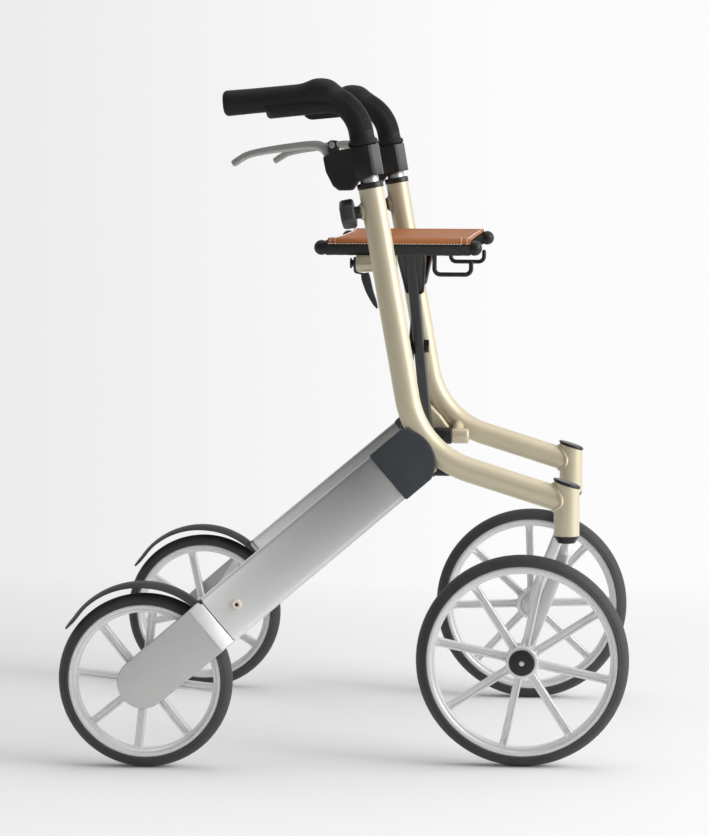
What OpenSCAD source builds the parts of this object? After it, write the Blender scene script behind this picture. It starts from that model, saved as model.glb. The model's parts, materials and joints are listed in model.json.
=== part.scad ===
// All-terrain rollator: two side frames joined by a folding X of seat arms, on four spoked wheels.
// Millimetres, +X forward, +Y to the left, +Z up; the origin is on the floor below the middle of the part.
// Every side piece is drawn on the left and mirrored for the right.

/* [Wheels] */
// Outer diameter of a front wheel
front_wheel_d = 250; // [235:1:265]
// Outer diameter of a rear wheel
rear_wheel_d = 205; // [190:1:215]
// Distance from the rear axle to the front axle
wheelbase = 439; // [430:1:460]
// Distance of a rear wheel's middle plane outside the main tube
rear_offset = 43; // [38:0.5:50]
// Diameter of a tyre's round section
tyre_section_d = 30; // [26:1:32]
// Depth of tyre outside the rim
tyre_depth = 12; // [10:0.5:14]
// Width of a rim
rim_w = 24; // [20:1:26]
// Radial depth of a rim
rim_depth = 10; // [8:0.5:12]
// Width of the raised inner step of a rim
rim_step_w = 16; // [12:1:19]
// Radial depth of the raised inner step of a rim
rim_step_depth = 4; // [3:0.5:6]
// Number of spokes in a wheel
spoke_count = 8; // [6:1:10]
// Width of a spoke
spoke_w = 9; // [7:0.5:10]
// Depth of a spoke along the axle
spoke_depth = 13; // [10:0.5:16]
// Width of the groove in a spoke
spoke_groove_w = 3; // [2:0.25:4]
// Depth of the groove in a spoke
spoke_groove_depth = 2; // [1:0.25:3]
// Angle of the first front spoke above the horizontal
front_spoke_angle = 33; // [0:1:44]
// Angle of the first rear spoke above the horizontal
rear_spoke_angle = 39; // [0:1:44]
// Diameter of a wheel hub
hub_d = 38; // [35:0.5:44]
// Length of a wheel hub
hub_l = 36; // [32:1:40]
// Diameter of an axle bolt
axle_d = 10; // [8:0.5:12]
// Outer diameter of a wheel bearing
bearing_d = 26; // [22:0.5:28]
// Width of a wheel bearing
bearing_w = 8; // [6:0.5:10]
// Diameter of the front hub cap
hub_cap_d = 30; // [28:0.5:33]
// Height of the front hub cap
hub_cap_h = 4; // [3:0.5:6]

/* [Side frame] */
// Distance of a main tube outside the seat rail
frame_offset = 35; // [30:0.5:40]
// Outer diameter of the main tube
tube_d = 29; // [27:0.5:29.5]
// Wall of the main tube
tube_wall = 2; // [1.5:0.25:2.5]
// Height of the corner that the bend rounds off
corner_h = 368; // [360:1:376]
// Distance of that corner ahead of the rear axle
corner_reach = 314; // [306:1:322]
// Lean of the upright to the rear
upright_lean = 10.1; // [8:0.1:12]
// Length of the upright above the corner
upright_l = 318; // [310:1:340]
// Fall of the lower bar to the front
bar_fall = 17.4; // [15:0.1:19]
// Radius of the bend
bend_r = 107; // [100:1:112]
// Outer diameter of the head tube
head_d = 30; // [30:0.5:32]
// Bore of the head tube
head_bore_d = 20; // [18:0.5:22]
// Rise of the head tube's slanted top over the lower bar's axis
head_rise = 20; // [18:0.5:26]
// Distance of the steering axis ahead of the front axle
trail = 50.5; // [44:0.5:56]
// Height of the cone below the head tube
cone_h = 8; // [6:0.5:10]
// Height of the head cap
head_cap_h = 3; // [2:0.5:4]
// Overhang of the head cap
head_cap_lip = 0.7; // [0.4:0.1:1]

/* [Beam and rear fork] */
// Height of the beam's section
beam_h = 64; // [60:1:68]
// Width of the beam's section
beam_w = 34; // [32:0.5:38]
// Wall of the beam
beam_wall = 2.5; // [2:0.25:3.5]
// Bevel along the beam's edges
beam_bevel = 5; // [3:0.5:7]
// Distance from the rear axle to the lower end of the beam
beam_seam = 113; // [111:0.5:118]
// Length of the cover between the beam and the end of its nose
cover_l = 63; // [58:1:66]
// Height of the cover
cover_h = 67; // [65:0.5:71]
// Wall of the cover outside the beam's width
cover_wall = 1.5; // [1:0.25:2]
// Radius of the cover's round nose
cover_nose_r = 39; // [36:0.5:44]
// Rise of the nose above the beam's axis
cover_nose_rise = 3; // [1:0.5:4]
// Thickness of the rear fork's outer plate
fork_plate_t = 8; // [6:0.5:10]
// Radius of the plate around the rear axle
fork_eye_r = 30; // [27:0.5:32]
// Thickness of the flange that closes the beam
fork_flange_t = 5.5; // [5:0.25:6]
// Distance from the rear axle to the foot of the slanted face
fork_slant_start = 96; // [92:0.5:100]
// Distance of the fork bolt above the seam
fork_bolt_rise = 24; // [22:0.5:28]
// Diameter of the fork bolt's pale cap
fork_bolt_cap_d = 11; // [9:0.5:13]
// Outer radius of the mudguard over the rear axle
guard_r = 112; // [110:0.5:118]
// Width of the mudguard
guard_w = 38; // [34:1:42]
// Thickness of the mudguard
guard_t = 2.5; // [2:0.25:3]
// Radius of the mudguard's arched section
guard_arch_r = 26; // [24:0.5:30]
// Angle of the mudguard's rear tip above the forward horizontal
guard_tip_angle = 148; // [135:1:150]
// Height of the brake pad
pad_h = 26; // [20:1:30]
// Width of the brake pad
pad_w = 18; // [14:1:20]
// Length of the brake pad
pad_l = 22; // [18:0.5:24]
// Gap between the brake pad and the tyre
pad_gap = 3.4; // [2.5:0.1:4]

/* [Handle] */
// Diameter of the handle post
post_d = 22; // [20:0.5:23]
// Wall of the handle post
post_wall = 2; // [1.5:0.25:2.5]
// Length of post inside the upright
post_depth = 180; // [160:1:190]
// Height of post showing below the clamp
post_show = 9.5; // [8:0.5:14]
// Height of the clamp
clamp_h = 36; // [33:0.5:40]
// Outer diameter of the clamp
clamp_d = 35; // [33:0.5:37]
// Turn of the handle from the post to the grip
handle_turn = 85.3; // [80:0.1:88]
// Radius of the handle's bend
handle_bend_r = 51.5; // [46:0.5:54]
// Height of the handle's corner above the upright's top
handle_rise = 109; // [106:0.5:114]
// Length of the grip behind the handle's corner
grip_l = 153; // [140:1:160]
// Diameter of the grip
grip_d = 29; // [27:0.5:31]
// Diameter of the grip's swelling behind the bend
grip_swell_d = 40; // [36:0.5:42]
// Diameter of the collar below the grip
grip_collar_d = 34; // [32:0.5:36]
// Height of the collar below the grip
grip_collar_h = 9; // [7:0.5:11]
// Depth of the finger rib below the grip's axis
grip_rib_depth = 21; // [19:0.5:22]
// Width of the finger rib
grip_rib_w = 12; // [9:0.5:14]
// Distance of the finger rib's rear end behind the corner
grip_rib_end = 99; // [90:1:108]
// Width of the brake housing
housing_w = 26; // [24:0.5:30]
// Width of the brake lever
lever_w = 13; // [11:0.5:15]
// Length of the brake lever from its pivot to its tip
lever_l = 116; // [108:1:122]
// Radius of the lever around its pin
lever_boss_r = 6; // [5.5:0.25:8]
// Diameter of the lever's pin
lever_pin_d = 4; // [3:0.25:5]
// Diameter of the clamp knob
knob_d = 34; // [30:0.5:36]
// Thickness of the clamp knob
knob_t = 15; // [12:0.5:17]
// Distance of the clamp knob below the upright's top
knob_drop = 29.6; // [28:0.2:34]
// Length of the boss that carries the knob's screw
knob_boss_l = 9.5; // [7:0.25:11]
// Diameter of the knob's boss
knob_boss_d = 14; // [12:0.5:16]
// Diameter of the knob's screw
knob_screw_d = 8; // [6:0.5:9]

/* [Seat and arms] */
// Distance between the seat rails
rail_track = 410; // [404:1:414]
// Distance of the seat rails below the uprights' tops
rail_drop = 74.57; // [68:0.01:82]
// Diameter of a seat rail
rail_d = 16; // [14:0.5:17]
// Diameter of the balls at a rail's ends
rail_ball_d = 17; // [16.5:0.5:19]
// Distance of the rear ball behind the middle of the part
rail_rear = 32; // [28:0.5:36]
// Distance of the front ball ahead of the middle of the part
rail_front = 148; // [144:0.5:154]
// Distance of the bag hook's rear leg ahead of the middle of the part
hook_start = 101; // [97:0.5:106]
// Length of the bag hook
hook_l = 43; // [38:0.5:46]
// Depth of the bag hook below the rail's axis
hook_depth = 31; // [28:0.5:36]
// Height of the hook's free end above its bottom
hook_lip = 13; // [11:0.5:15]
// Diameter of the hook's wire
hook_wire_d = 5.3; // [4:0.1:6]
// Radius of the hook's bends
hook_bend_r = 7; // [6:0.5:8]
// Distance of an arm's lower pivot inside the main tube
pivot_inset = 32; // [30:0.5:35]
// Height of the lower pivots
arm_pivot_h = 348; // [342:1:352]
// Distance of the arms' crossing plane ahead of the seat's zero plane
arm_x = 70; // [68:0.5:74]
// Thickness of one arm
arm_t = 8; // [6:0.5:9]
// Gap between the arms
arm_gap = 1; // [0.6:0.1:1.5]
// Height of an arm's section
arm_h = 24; // [20:0.5:25]
// Diameter of the pivot bolts
pivot_d = 10; // [8:0.5:12]
// Width of a rail bracket at the rail
bracket_top_w = 34; // [30:1:38]
// Width of a rail bracket at its foot
bracket_foot_w = 22; // [18:0.5:26]
// Length of a rail bracket
bracket_l = 105; // [90:1:110]
// Thickness of a rail bracket
bracket_t = 10; // [8:0.5:11]
// Diameter of the pivot boss on the side frame
boss_d = 24; // [20:0.5:25]
// Length of the pivot boss
boss_l = 40; // [36:0.5:44]
// Diameter of the seat rail's rest
rest_d = 20; // [16:0.5:21]
// Length of the seat rail's rest
rest_l = 54; // [50:1:56]
// Thickness of the seat sling
sling_t = 3.2; // [2.5:0.1:4]
// Inset of the seat sling from the balls of the rails
sling_inset = 1; // [0.5:0.5:6]

/* [Fits] */
// Radial clearance of a running fit
run_fit = 0.05; // [0.03:0.01:0.1]
// Clearance of a fixed fit
fixed_fit = 0.05; // [0.03:0.01:0.1]
// Clearance beside parts that slide or swing
side_gap = 0.5; // [0.4:0.05:0.8]
// Clearance of soft pieces
soft_gap = 0.3; // [0.3:0.05:0.5]

/* [Hidden] */
$fn = 64;
left = 1;
right = -1;
SIDES = [["left", left], ["right", right]];
SIDE_PARTS = [
    "side_frame", "head_cap", "steering_bushes", "beam", "beam_cover", "rear_fork", "frame_bolts", "mudguard",
    "brake_shoe", "post_bush", "fold_catch", "handle_post", "grip", "brake_housing", "brake_lever", "lever_pin",
    "clamp_knob", "front_fork", "front_axle", "hub_cap", "front_rim", "front_tyre", "front_bearings",
    "rear_axle", "rear_rim", "rear_tyre", "rear_bearings"
];
MIDDLE_PARTS = ["front_arm", "rear_arm", "arm_pivot", "left_rail", "right_rail", "seat_sling"];

// Colours
champagne = "tan";
silver = "silver";
steel = "lightgray";
charcoal = "dimgray";
black = "black";
leather = "sienna";

// One overrun for every cut, the root of a straight tube in its bend, and a block that cuts any piece in two
overrun = 1;
root_l = 2;
root_taper = 1;
bend_step = 0.05;
cut_block = rear_wheel_d + wheelbase;

// Wheels
front_r = front_wheel_d / 2;
rear_r = rear_wheel_d / 2;
part_l = rear_r + wheelbase + front_r;
rear_x = rear_r - part_l / 2;
front_x = rear_x + wheelbase;
rail_y = rail_track / 2;
frame_y = rail_y + frame_offset;
rear_y = frame_y + rear_offset;
hub_r = hub_d / 2;
axle_r = axle_d / 2;
axle_head_r = 7;
axle_head_h = 4;
bearing_r = bearing_d / 2;
bearing_lip = 2;
axle_seat = 4.8;

// Main tube: a corner, an upright and a bar in the plane of one side
tube_r = tube_d / 2;
tube_bore_r = tube_r - tube_wall;
corner_x = rear_x + corner_reach;
seat_set_back = 83.25;
seat_x = corner_x - seat_set_back;
arm_plane_x = seat_x + arm_x;
bend_turn = 90 - bar_fall - upright_lean;
bend_tangent = bend_r * tan(bend_turn / 2);
head_x = front_x + trail;
head_r = head_d / 2;
head_bore_r = head_bore_d / 2;
bar_h_at_head = corner_h - (head_x - corner_x) * tan(bar_fall);
bar_l = (head_x - corner_x) / cos(bar_fall);

// Caster fork and head tube, stacked up from the tyre
crown_r = 8;
crown_gap = 5;
crown_h = front_wheel_d + crown_gap;
stem_r = 6;
stem_head_r = 8.1;
stem_head_h = 4;
cone_gap = 9.6;
cone_bottom = crown_h + cone_gap;
head_bottom = cone_bottom + cone_h;
head_top = bar_h_at_head + head_rise;
cone_r = 10;
bush_l = 14;
upper_bush_drop = 32.4;
upper_bush_bottom = head_top - upper_bush_drop;
stem_top = upper_bush_bottom + bush_l;
cap_plug_l = 7;
fork_leg_t = 10;
fork_leg_head_r = 7.6;
fork_leg_foot_r = 8.6;
fork_leg_y = frame_y - hub_l / 2 - side_gap - fork_leg_t;

// Beam: an axis from the rear axle to the corner, which also splays outwards to the rear
beam_rise_angle = atan2(corner_h - rear_r, corner_reach);
beam_l = norm([corner_reach, corner_h - rear_r]);
plate_y = rear_y + hub_l / 2 + side_gap;
plate_outer_y = plate_y + fork_plate_t;
beam_inset = 2;
beam_splay = atan2(rear_y - frame_y - beam_inset, beam_l - beam_seam);
cover_start = beam_l + bend_r * (1 / cos(bend_turn / 2) - 1) - cover_l;
socket_l = 30;
socket_reach = 8;
socket_start = cover_start - socket_l;
socket_wall = 4;
spigot_l = 45;
fork_bolt_along = beam_seam + fork_bolt_rise;
flange_bottom = beam_seam - fork_flange_t;
flange_inset = 1;
flange_h = beam_h - 2 * flange_inset;
guard_seat_l = 4.5;
guard_seat_t = 5;
fork_bolt_hole_r = 3;
beam_end_y = frame_y + (beam_l - beam_seam) * tan(beam_splay);
pad_bottom = rear_r + pad_gap;

// Handle: heights along the leaning upright, measured from the corner
post_r = post_d / 2;
clamp_bottom = upright_l + post_show;
clamp_top = clamp_bottom + clamp_h;
handle_corner = upright_l + handle_rise;
handle_tangent = handle_bend_r * tan(handle_turn / 2);
grip_r = grip_d / 2;
grip_bevel = 5;
grip_swell_l = 34;
grip_swell_lead = 20;
swell_start = handle_tangent - grip_swell_lead;
// Swelling of the grip: how far along it and how much of its extra radius
swell_shares = [[0.1, 0.5], [0.22, 0.85], [0.4, 1.0], [0.62, 0.7], [1.0, 0.0]];
post_end = grip_l - grip_d;
collar_flange_h = 3;
collar_inset = 1;
bush_sleeve_l = 20;
post_foot_l = 20;
lever_back = 35.3;
lever_rise = 7;
lever_h = clamp_top + lever_rise;
lever_pin_r = lever_pin_d / 2;
lug_wall = 1.5;
lug_r = lever_boss_r + lug_wall;
lug_root_r = 11.4;
slot_w = lever_w + 2 * side_gap;
knob_h = upright_l - knob_drop;
// Housing outline as shares of its reach behind the post and of the clamp's height
housing_reach = 48;
housing_shares = [
    [-0.30, 0.99], [-0.68, 1.02], [-0.98, 0.86], [-1.0, 0.36], [-0.91, 0.03], [-0.80, -0.22], [-0.69, -0.30],
    [-0.46, -0.30], [-0.40, -0.25], [-0.34, -0.10], [-0.26, 0.0], [0, 0], [0, 0.99]
];
// Lever blade: how far along, how far above the pivot and half the thickness, as shares of the lever's length
lever_shares = [[0.18, 0.038, 0.042], [0.69, 0.069, 0.036], [0.85, 0.062, 0.032], [0.99, -0.016, 0.03]];

// Seat rails, their rests and the X of arms
rail_h = corner_h + upright_l * cos(upright_lean) - rail_drop;
rail_r = rail_d / 2;
pivot_y = frame_y - pivot_inset;
arm_slope = atan2(rail_h - arm_pivot_h, pivot_y + rail_y);
cross_h = arm_pivot_h + pivot_y * tan(arm_slope);
arm_end_r = 6.4;
rest_r = rest_d / 2;
rest_offset = 3;
rest_y = rail_y + rest_offset;
rest_h = rail_h - sqrt((rail_r + rest_r + side_gap) ^ 2 - (rest_y - rail_y) ^ 2);
upright_x_at_rest = corner_x - (rest_h - corner_h) * tan(upright_lean);
rest_lead = 19;
rest_front = upright_x_at_rest + rest_lead;
rest_rear = rest_front - rest_l;
rest_bolt_r = 4;
rest_head_r = 6;
rest_head_h = 2;
catch_t = 4;
catch_eye_r = 7.5;
// Catch blade: how far ahead and below its pivot, and half its width, as shares of the catch's length
catch_l = 52;
catch_shares = [[0.0, 0.0, 0.055], [0.25, 0.27, 0.11], [0.37, 0.62, 0.09], [0.53, 1.0, 0.03]];
boss_gap = 1.5;
boss_rear = arm_plane_x + arm_gap / 2 + arm_t + boss_gap;
boss_front = boss_rear + boss_l;
strut_r = 7;
strut_inset = 2;
strut_x = boss_front - strut_r - strut_inset;
strut_h = corner_h + bend_r / cos(bend_turn / 2) * sin(beam_bisector_angle())
    - sqrt(bend_r ^ 2 - (corner_x + bend_r / cos(bend_turn / 2) * cos(beam_bisector_angle()) - strut_x) ^ 2);
bolt_head_h = 5;
bolt_head_r = 8;
hook_r = hook_wire_d / 2;

// Direction, above the horizontal, from the corner to the middle of the bend
function beam_bisector_angle() = (90 + upright_lean - bar_fall) / 2;
// A point on a circle
function polar(r, angle) = [r * cos(angle), r * sin(angle)];

// Draws its children on the left, or mirrored on the right
module on_side(side) {
    if (side == left)
        children();
    else
        mirror([0, 1, 0]) children();
}

// A flat link with round ends of two radii; the flanks run just inside the two circles
module link_2d(start, start_r, end, end_r) {
    flank_share = 0.995;
    run = end - start;
    angle = atan2(run[1], run[0]);
    open = acos((start_r - end_r) / norm(run));
    translate(start) circle(start_r);
    translate(end) circle(end_r);
    polygon([
        start + polar(start_r * flank_share, angle + open), end + polar(end_r * flank_share, angle + open),
        end + polar(end_r * flank_share, angle - open), start + polar(start_r * flank_share, angle - open)
    ]);
}

// A rectangle with bevelled corners, centred
module bevelled_2d(w, h, bevel) {
    polygon([
        [w / 2 - bevel, h / 2], [w / 2, h / 2 - bevel], [w / 2, bevel - h / 2], [w / 2 - bevel, -h / 2],
        [bevel - w / 2, -h / 2], [-w / 2, bevel - h / 2], [-w / 2, h / 2 - bevel], [bevel - w / 2, h / 2]
    ]);
}

// Side view drawn in 2D (forward, up), given a thickness from y to y + t
module side_plate(y, t) {
    translate([0, y + t, 0]) rotate([90, 0, 0]) linear_extrude(t) children();
}

// Links joined end to end through a list of [forward, up, radius], as one plate
module chain_plate(points, y, t) {
    for (i = [1 : len(points) - 1])
        side_plate(y, t) link_2d([points[i - 1][0], points[i - 1][1]], points[i - 1][2],
            [points[i][0], points[i][1]], points[i][2]);
}

// Frame of a wheel: its axis along +Y, outwards
module at_axle(x, y, h) {
    translate([x, y, h]) rotate([-90, 0, 0]) children();
}

// Frame of the upright: origin at the corner, +Z up along the tube
module on_upright() {
    translate([corner_x, frame_y, corner_h]) rotate([0, -upright_lean, 0]) children();
}

// Frame of the beam before its splay: origin at the rear axle, +X up along the beam, +Z across it
module on_beam() {
    translate([rear_x, 0, rear_r]) rotate([0, -beam_rise_angle, 0]) children();
}

// Frame of the splayed beam: origin at the corner, +X up along the beam
module on_splayed_beam() {
    on_beam() translate([beam_l, frame_y, 0]) rotate([0, 0, -beam_splay]) children();
}

// Bevelled box along the splayed beam, between two distances from the rear axle
module beam_box(from, to, w, h, bevel) {
    on_splayed_beam() translate([from - beam_l, 0, 0]) rotate([0, 90, 0]) linear_extrude(to - from)
        bevelled_2d(h, w, bevel);
}

// Everything below a distance from the rear axle, measured along the beam
module below_seam(along) {
    on_beam() translate([along - cut_block, 0, -cut_block / 2]) cube([cut_block, cut_block, cut_block]);
}

// Straight stretch of a bent tube along +Z, with a tapered root that lies inside the bend before it
module straight(r, l) {
    rotate_extrude() polygon([[0, -root_l], [r - root_taper, -root_l], [r, 0], [r, l], [0, l]]);
}

// Bent main tube at one radius, from the upright's top to the end of the bar
module main_tube(r, top, bar_end) {
    on_upright() translate([0, 0, bend_tangent]) straight(r, top - bend_tangent);
    translate([corner_x, frame_y, corner_h]) rotate([0, 90 + bar_fall, 0]) translate([0, 0, bend_tangent])
        straight(r, bar_end - bend_tangent);
    on_upright() translate([bend_r, 0, bend_tangent]) rotate([90, 0, 0]) rotate([0, 0, 180])
        rotate_extrude(angle = bend_turn) translate([bend_r, 0]) circle(r - bend_step);
}

// Half space above the head tube's slanted top
module above_head(rise) {
    translate([head_x, frame_y, head_top + rise]) rotate([0, bar_fall, 0])
        translate([-cut_block / 2, -cut_block / 2, 0]) cube(cut_block);
}

// Welded side frame: bent tube, head tube, knob boss, rail rest, pivot boss and the beam's socket
module side_frame(side) {
    color(champagne) on_side(side) difference() {
        union() {
            main_tube(tube_r, upright_l, bar_l);
            difference() {
                translate([head_x, frame_y, head_bottom])
                    cylinder(r = head_r, h = head_top - head_bottom + head_r);
                above_head(0);
            }
            on_upright() translate([-tube_r - knob_boss_l, 0, knob_h]) rotate([0, 90, 0])
                cylinder(d = knob_boss_d, h = knob_boss_l + tube_r);
            translate([rest_rear, rest_y, rest_h]) rotate([0, 90, 0]) cylinder(r = rest_r, h = rest_l);
            translate([upright_x_at_rest, rest_y, rest_h]) rotate([-90, 0, 0])
                cylinder(r = strut_r, h = frame_y - rest_y);
            translate([boss_rear, pivot_y, arm_pivot_h]) rotate([0, 90, 0]) cylinder(d = boss_d, h = boss_l);
            translate([strut_x, pivot_y, arm_pivot_h])
                rotate([-atan2(frame_y - pivot_y, strut_h - arm_pivot_h), 0, 0])
                cylinder(r = strut_r, h = norm([frame_y - pivot_y, strut_h - arm_pivot_h]));
            difference() {
                beam_box(socket_start, beam_l + socket_reach, beam_w - 2 * (beam_wall + fixed_fit),
                    beam_h - 2 * (beam_wall + fixed_fit), beam_bevel - beam_wall / 2);
                beam_box(socket_start - overrun, beam_l - tube_wall, beam_w - 2 * (beam_wall + socket_wall),
                    beam_h - 2 * (beam_wall + socket_wall), beam_wall);
            }
        }
        main_tube(tube_bore_r, upright_l + overrun, bar_l - head_d);
        translate([head_x, frame_y, head_bottom - overrun])
            cylinder(r = head_bore_r, h = head_top - head_bottom + head_d);
        on_upright() translate([-tube_r - knob_boss_l - overrun, 0, knob_h]) rotate([0, 90, 0])
            cylinder(r = knob_screw_d / 2 + run_fit, h = knob_boss_l + tube_d / 2);
        translate([rest_rear - overrun, rest_y, rest_h]) rotate([0, 90, 0])
            cylinder(r = rest_bolt_r + fixed_fit, h = rest_l / 2 + overrun);
        translate([boss_rear - overrun, pivot_y, arm_pivot_h]) rotate([0, 90, 0])
            cylinder(r = pivot_d / 2 + fixed_fit, h = boss_l + 2 * overrun);
    }
}

// Slanted cap with a plug in the head tube's bore
module head_cap(side) {
    color(black) on_side(side) difference() {
        translate([head_x, frame_y, head_top - cap_plug_l - head_r]) union() {
            cylinder(r = head_bore_r - fixed_fit, h = cap_plug_l + 2 * head_r);
            intersection() {
                cylinder(r = head_r + head_cap_lip, h = cap_plug_l + 2 * head_r + head_cap_h);
                translate([-head_x, -frame_y, cap_plug_l + head_r - head_top]) above_head(0);
            }
        }
        above_head(head_cap_h);
        translate([head_x, frame_y, 0]) cylinder(r = head_r, h = stem_top + stem_head_h + side_gap);
    }
}

// Lower bush with its cone, and upper bush
module steering_bushes(side) {
    color(black) on_side(side) translate([head_x, frame_y, 0]) difference() {
        union() {
            translate([0, 0, cone_bottom]) cylinder(r1 = cone_r, r2 = head_r, h = cone_h);
            translate([0, 0, head_bottom]) cylinder(r = head_bore_r - fixed_fit, h = bush_l);
            translate([0, 0, upper_bush_bottom]) cylinder(r = head_bore_r - fixed_fit, h = bush_l - run_fit * 2);
        }
        translate([0, 0, cone_bottom - overrun])
            cylinder(r = stem_r + run_fit, h = stem_top - cone_bottom + 2 * overrun);
    }
}

// Box-section beam, cut square to the fork at its lower end
module beam(side) {
    color(silver) on_side(side) difference() {
        beam_box(beam_seam - beam_w, cover_start, beam_w, beam_h, beam_bevel);
        beam_box(beam_seam - 2 * beam_w, cover_start + overrun, beam_w - 2 * beam_wall, beam_h - 2 * beam_wall,
            beam_bevel - beam_wall / 2);
        below_seam(beam_seam);
        fork_bolt_hole(fork_bolt_hole_r + fixed_fit);
    }
}

// Moulded cover between the beam and the tube, with a round nose over the bend
module beam_cover(side) {
    nose_centre = cover_l - cover_nose_r;
    color(charcoal) on_side(side) difference() {
        on_splayed_beam() translate([cover_start - beam_l, -beam_w / 2 - cover_wall, 0])
            side_plate(0, beam_w + 2 * cover_wall) intersection() {
                translate([0, -cover_h / 2]) square([cover_l, cover_h]);
                union() {
                    translate([0, -cover_h / 2]) square([nose_centre, cover_h]);
                    translate([nose_centre, cover_nose_rise]) circle(cover_nose_r);
                }
            }
        beam_box(cover_start - overrun, beam_l + cover_l, beam_w - 2 * beam_wall, beam_h - 2 * beam_wall,
            beam_bevel - beam_wall / 2);
        main_tube(tube_r + fixed_fit, upright_l, bar_l);
    }
}

// Rear fork: spigot in the beam, flange with the brake's window, slanted face and outer plate with the axle's eye
module rear_fork(side) {
    flange_inner_y = beam_end_y - beam_w / 2;
    flange_outer_y = beam_end_y + beam_w / 2;
    color(silver) on_side(side) difference() {
        union() {
            on_beam() translate([0, 0, -flange_h / 2]) linear_extrude(flange_h) polygon([
                [beam_seam, flange_inner_y], [beam_seam, flange_outer_y], [fork_slant_start, plate_outer_y],
                [fork_slant_start - flange_h / 4, plate_outer_y], [fork_slant_start - flange_h / 4, plate_y],
                [flange_bottom, plate_y], [flange_bottom, flange_inner_y]
            ]);
            on_beam() translate([flange_bottom - guard_seat_l, flange_inner_y, flange_h / 2 - guard_seat_t])
                cube([guard_seat_l + fork_flange_t / 2, plate_y - flange_inner_y, guard_seat_t]);
            on_beam() side_plate(plate_y, fork_plate_t) link_2d([0, 0], fork_eye_r,
                [fork_slant_start - flange_h / 2, 0], flange_h / 2);
            difference() {
                beam_box(beam_seam - beam_w, beam_seam + spigot_l, beam_w - 2 * (beam_wall + fixed_fit),
                    beam_h - 2 * (beam_wall + fixed_fit), beam_bevel - beam_wall / 2);
                beam_box(beam_seam - 2 * beam_w, beam_seam + spigot_l + overrun,
                    beam_w - 2 * (beam_wall + socket_wall), beam_h - 2 * (beam_wall + socket_wall), beam_wall);
                below_seam(beam_seam);
            }
        }
        brake_window(pad_h + 2 * side_gap, pad_w + 2 * side_gap);
        fork_bolt_hole(fork_bolt_hole_r + fixed_fit);
        at_axle(rear_x, plate_y - overrun, rear_r)
            cylinder(r = axle_r + fixed_fit, h = axle_seat + overrun);
    }
}

// Hole for the fork bolt across the beam
module fork_bolt_hole(r) {
    on_splayed_beam() translate([fork_bolt_along - beam_l, -beam_w, 0]) rotate([-90, 0, 0])
        cylinder(r = r, h = 2 * beam_w);
}

// Straight way of the brake pad through the flange and into the beam
module brake_window(h, w) {
    on_beam() translate([rear_r, rear_y - w / 2, -h / 2]) cube([pad_gap + pad_l + side_gap, w, h]);
}

// Bolts fixed to a side frame: the fork bolt with its cap, the arm's pivot bolt and the rest's end bolt
module frame_bolts(side) {
    color(steel) on_side(side) {
        on_splayed_beam() translate([fork_bolt_along - beam_l, -beam_w / 2, 0]) rotate([-90, 0, 0]) {
            cylinder(r = fork_bolt_hole_r, h = beam_w);
            translate([0, 0, beam_w]) cylinder(d = fork_bolt_cap_d, h = beam_wall);
            translate([0, 0, -beam_wall]) cylinder(d = fork_bolt_cap_d, h = beam_wall);
        }
        translate([arm_plane_x - arm_gap / 2 - arm_t - 2 * side_gap, pivot_y, arm_pivot_h]) rotate([0, 90, 0]) {
            cylinder(r = pivot_d / 2, h = boss_front - arm_plane_x + arm_gap / 2 + arm_t + 2 * side_gap);
            translate([0, 0, -bolt_head_h]) cylinder(r = bolt_head_r, h = bolt_head_h);
            translate([0, 0, boss_front - arm_plane_x + arm_gap / 2 + arm_t + 2 * side_gap])
                cylinder(r = bolt_head_r, h = bolt_head_h);
        }
        translate([rest_rear - catch_t - 2 * side_gap, rest_y, rest_h]) rotate([0, 90, 0]) {
            cylinder(r = rest_bolt_r, h = rest_l / 2 + catch_t);
            translate([0, 0, -rest_head_h]) cylinder(r = rest_head_r, h = rest_head_h);
        }
    }
}

// Arched mudguard, cut where it meets the top of the rear fork's flange
module mudguard(side) {
    color(charcoal) on_side(side) difference() {
        translate([rear_x, rear_y, rear_r]) rotate([90, 0, 0]) rotate([0, 0, beam_rise_angle])
            rotate_extrude(angle = guard_tip_angle - beam_rise_angle) intersection() {
                translate([guard_r - guard_arch_r, 0]) difference() {
                    circle(guard_arch_r);
                    circle(guard_arch_r - guard_t);
                }
                translate([guard_r - guard_arch_r, -guard_w / 2]) square([guard_arch_r + overrun, guard_w]);
            }
        on_beam() translate([0, 0, flange_h / 2 - cut_block]) cube([cut_block, cut_block, cut_block]);
    }
}

// Brake pad sliding in the fork's flange, hollowed to the tyre
module brake_shoe(side) {
    color(black) on_side(side) difference() {
        on_beam() translate([rear_r, rear_y - pad_w / 2, -pad_h / 2]) cube([pad_gap + pad_l, pad_w, pad_h]);
        at_axle(rear_x, rear_y - pad_w, rear_r) cylinder(r = pad_bottom, h = 2 * pad_w);
    }
}

// Collar and sleeve that guide the post in the upright's top
module post_bush(side) {
    color(black) on_side(side) on_upright() translate([0, 0, upright_l - bush_sleeve_l]) difference() {
        union() {
            cylinder(r = tube_bore_r - fixed_fit, h = bush_sleeve_l + collar_flange_h);
            translate([0, 0, bush_sleeve_l]) cylinder(r = tube_r - collar_inset, h = collar_flange_h);
        }
        translate([0, 0, -overrun]) cylinder(r = post_r + run_fit, h = bush_sleeve_l + collar_flange_h + 2 * overrun);
    }
}

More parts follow.
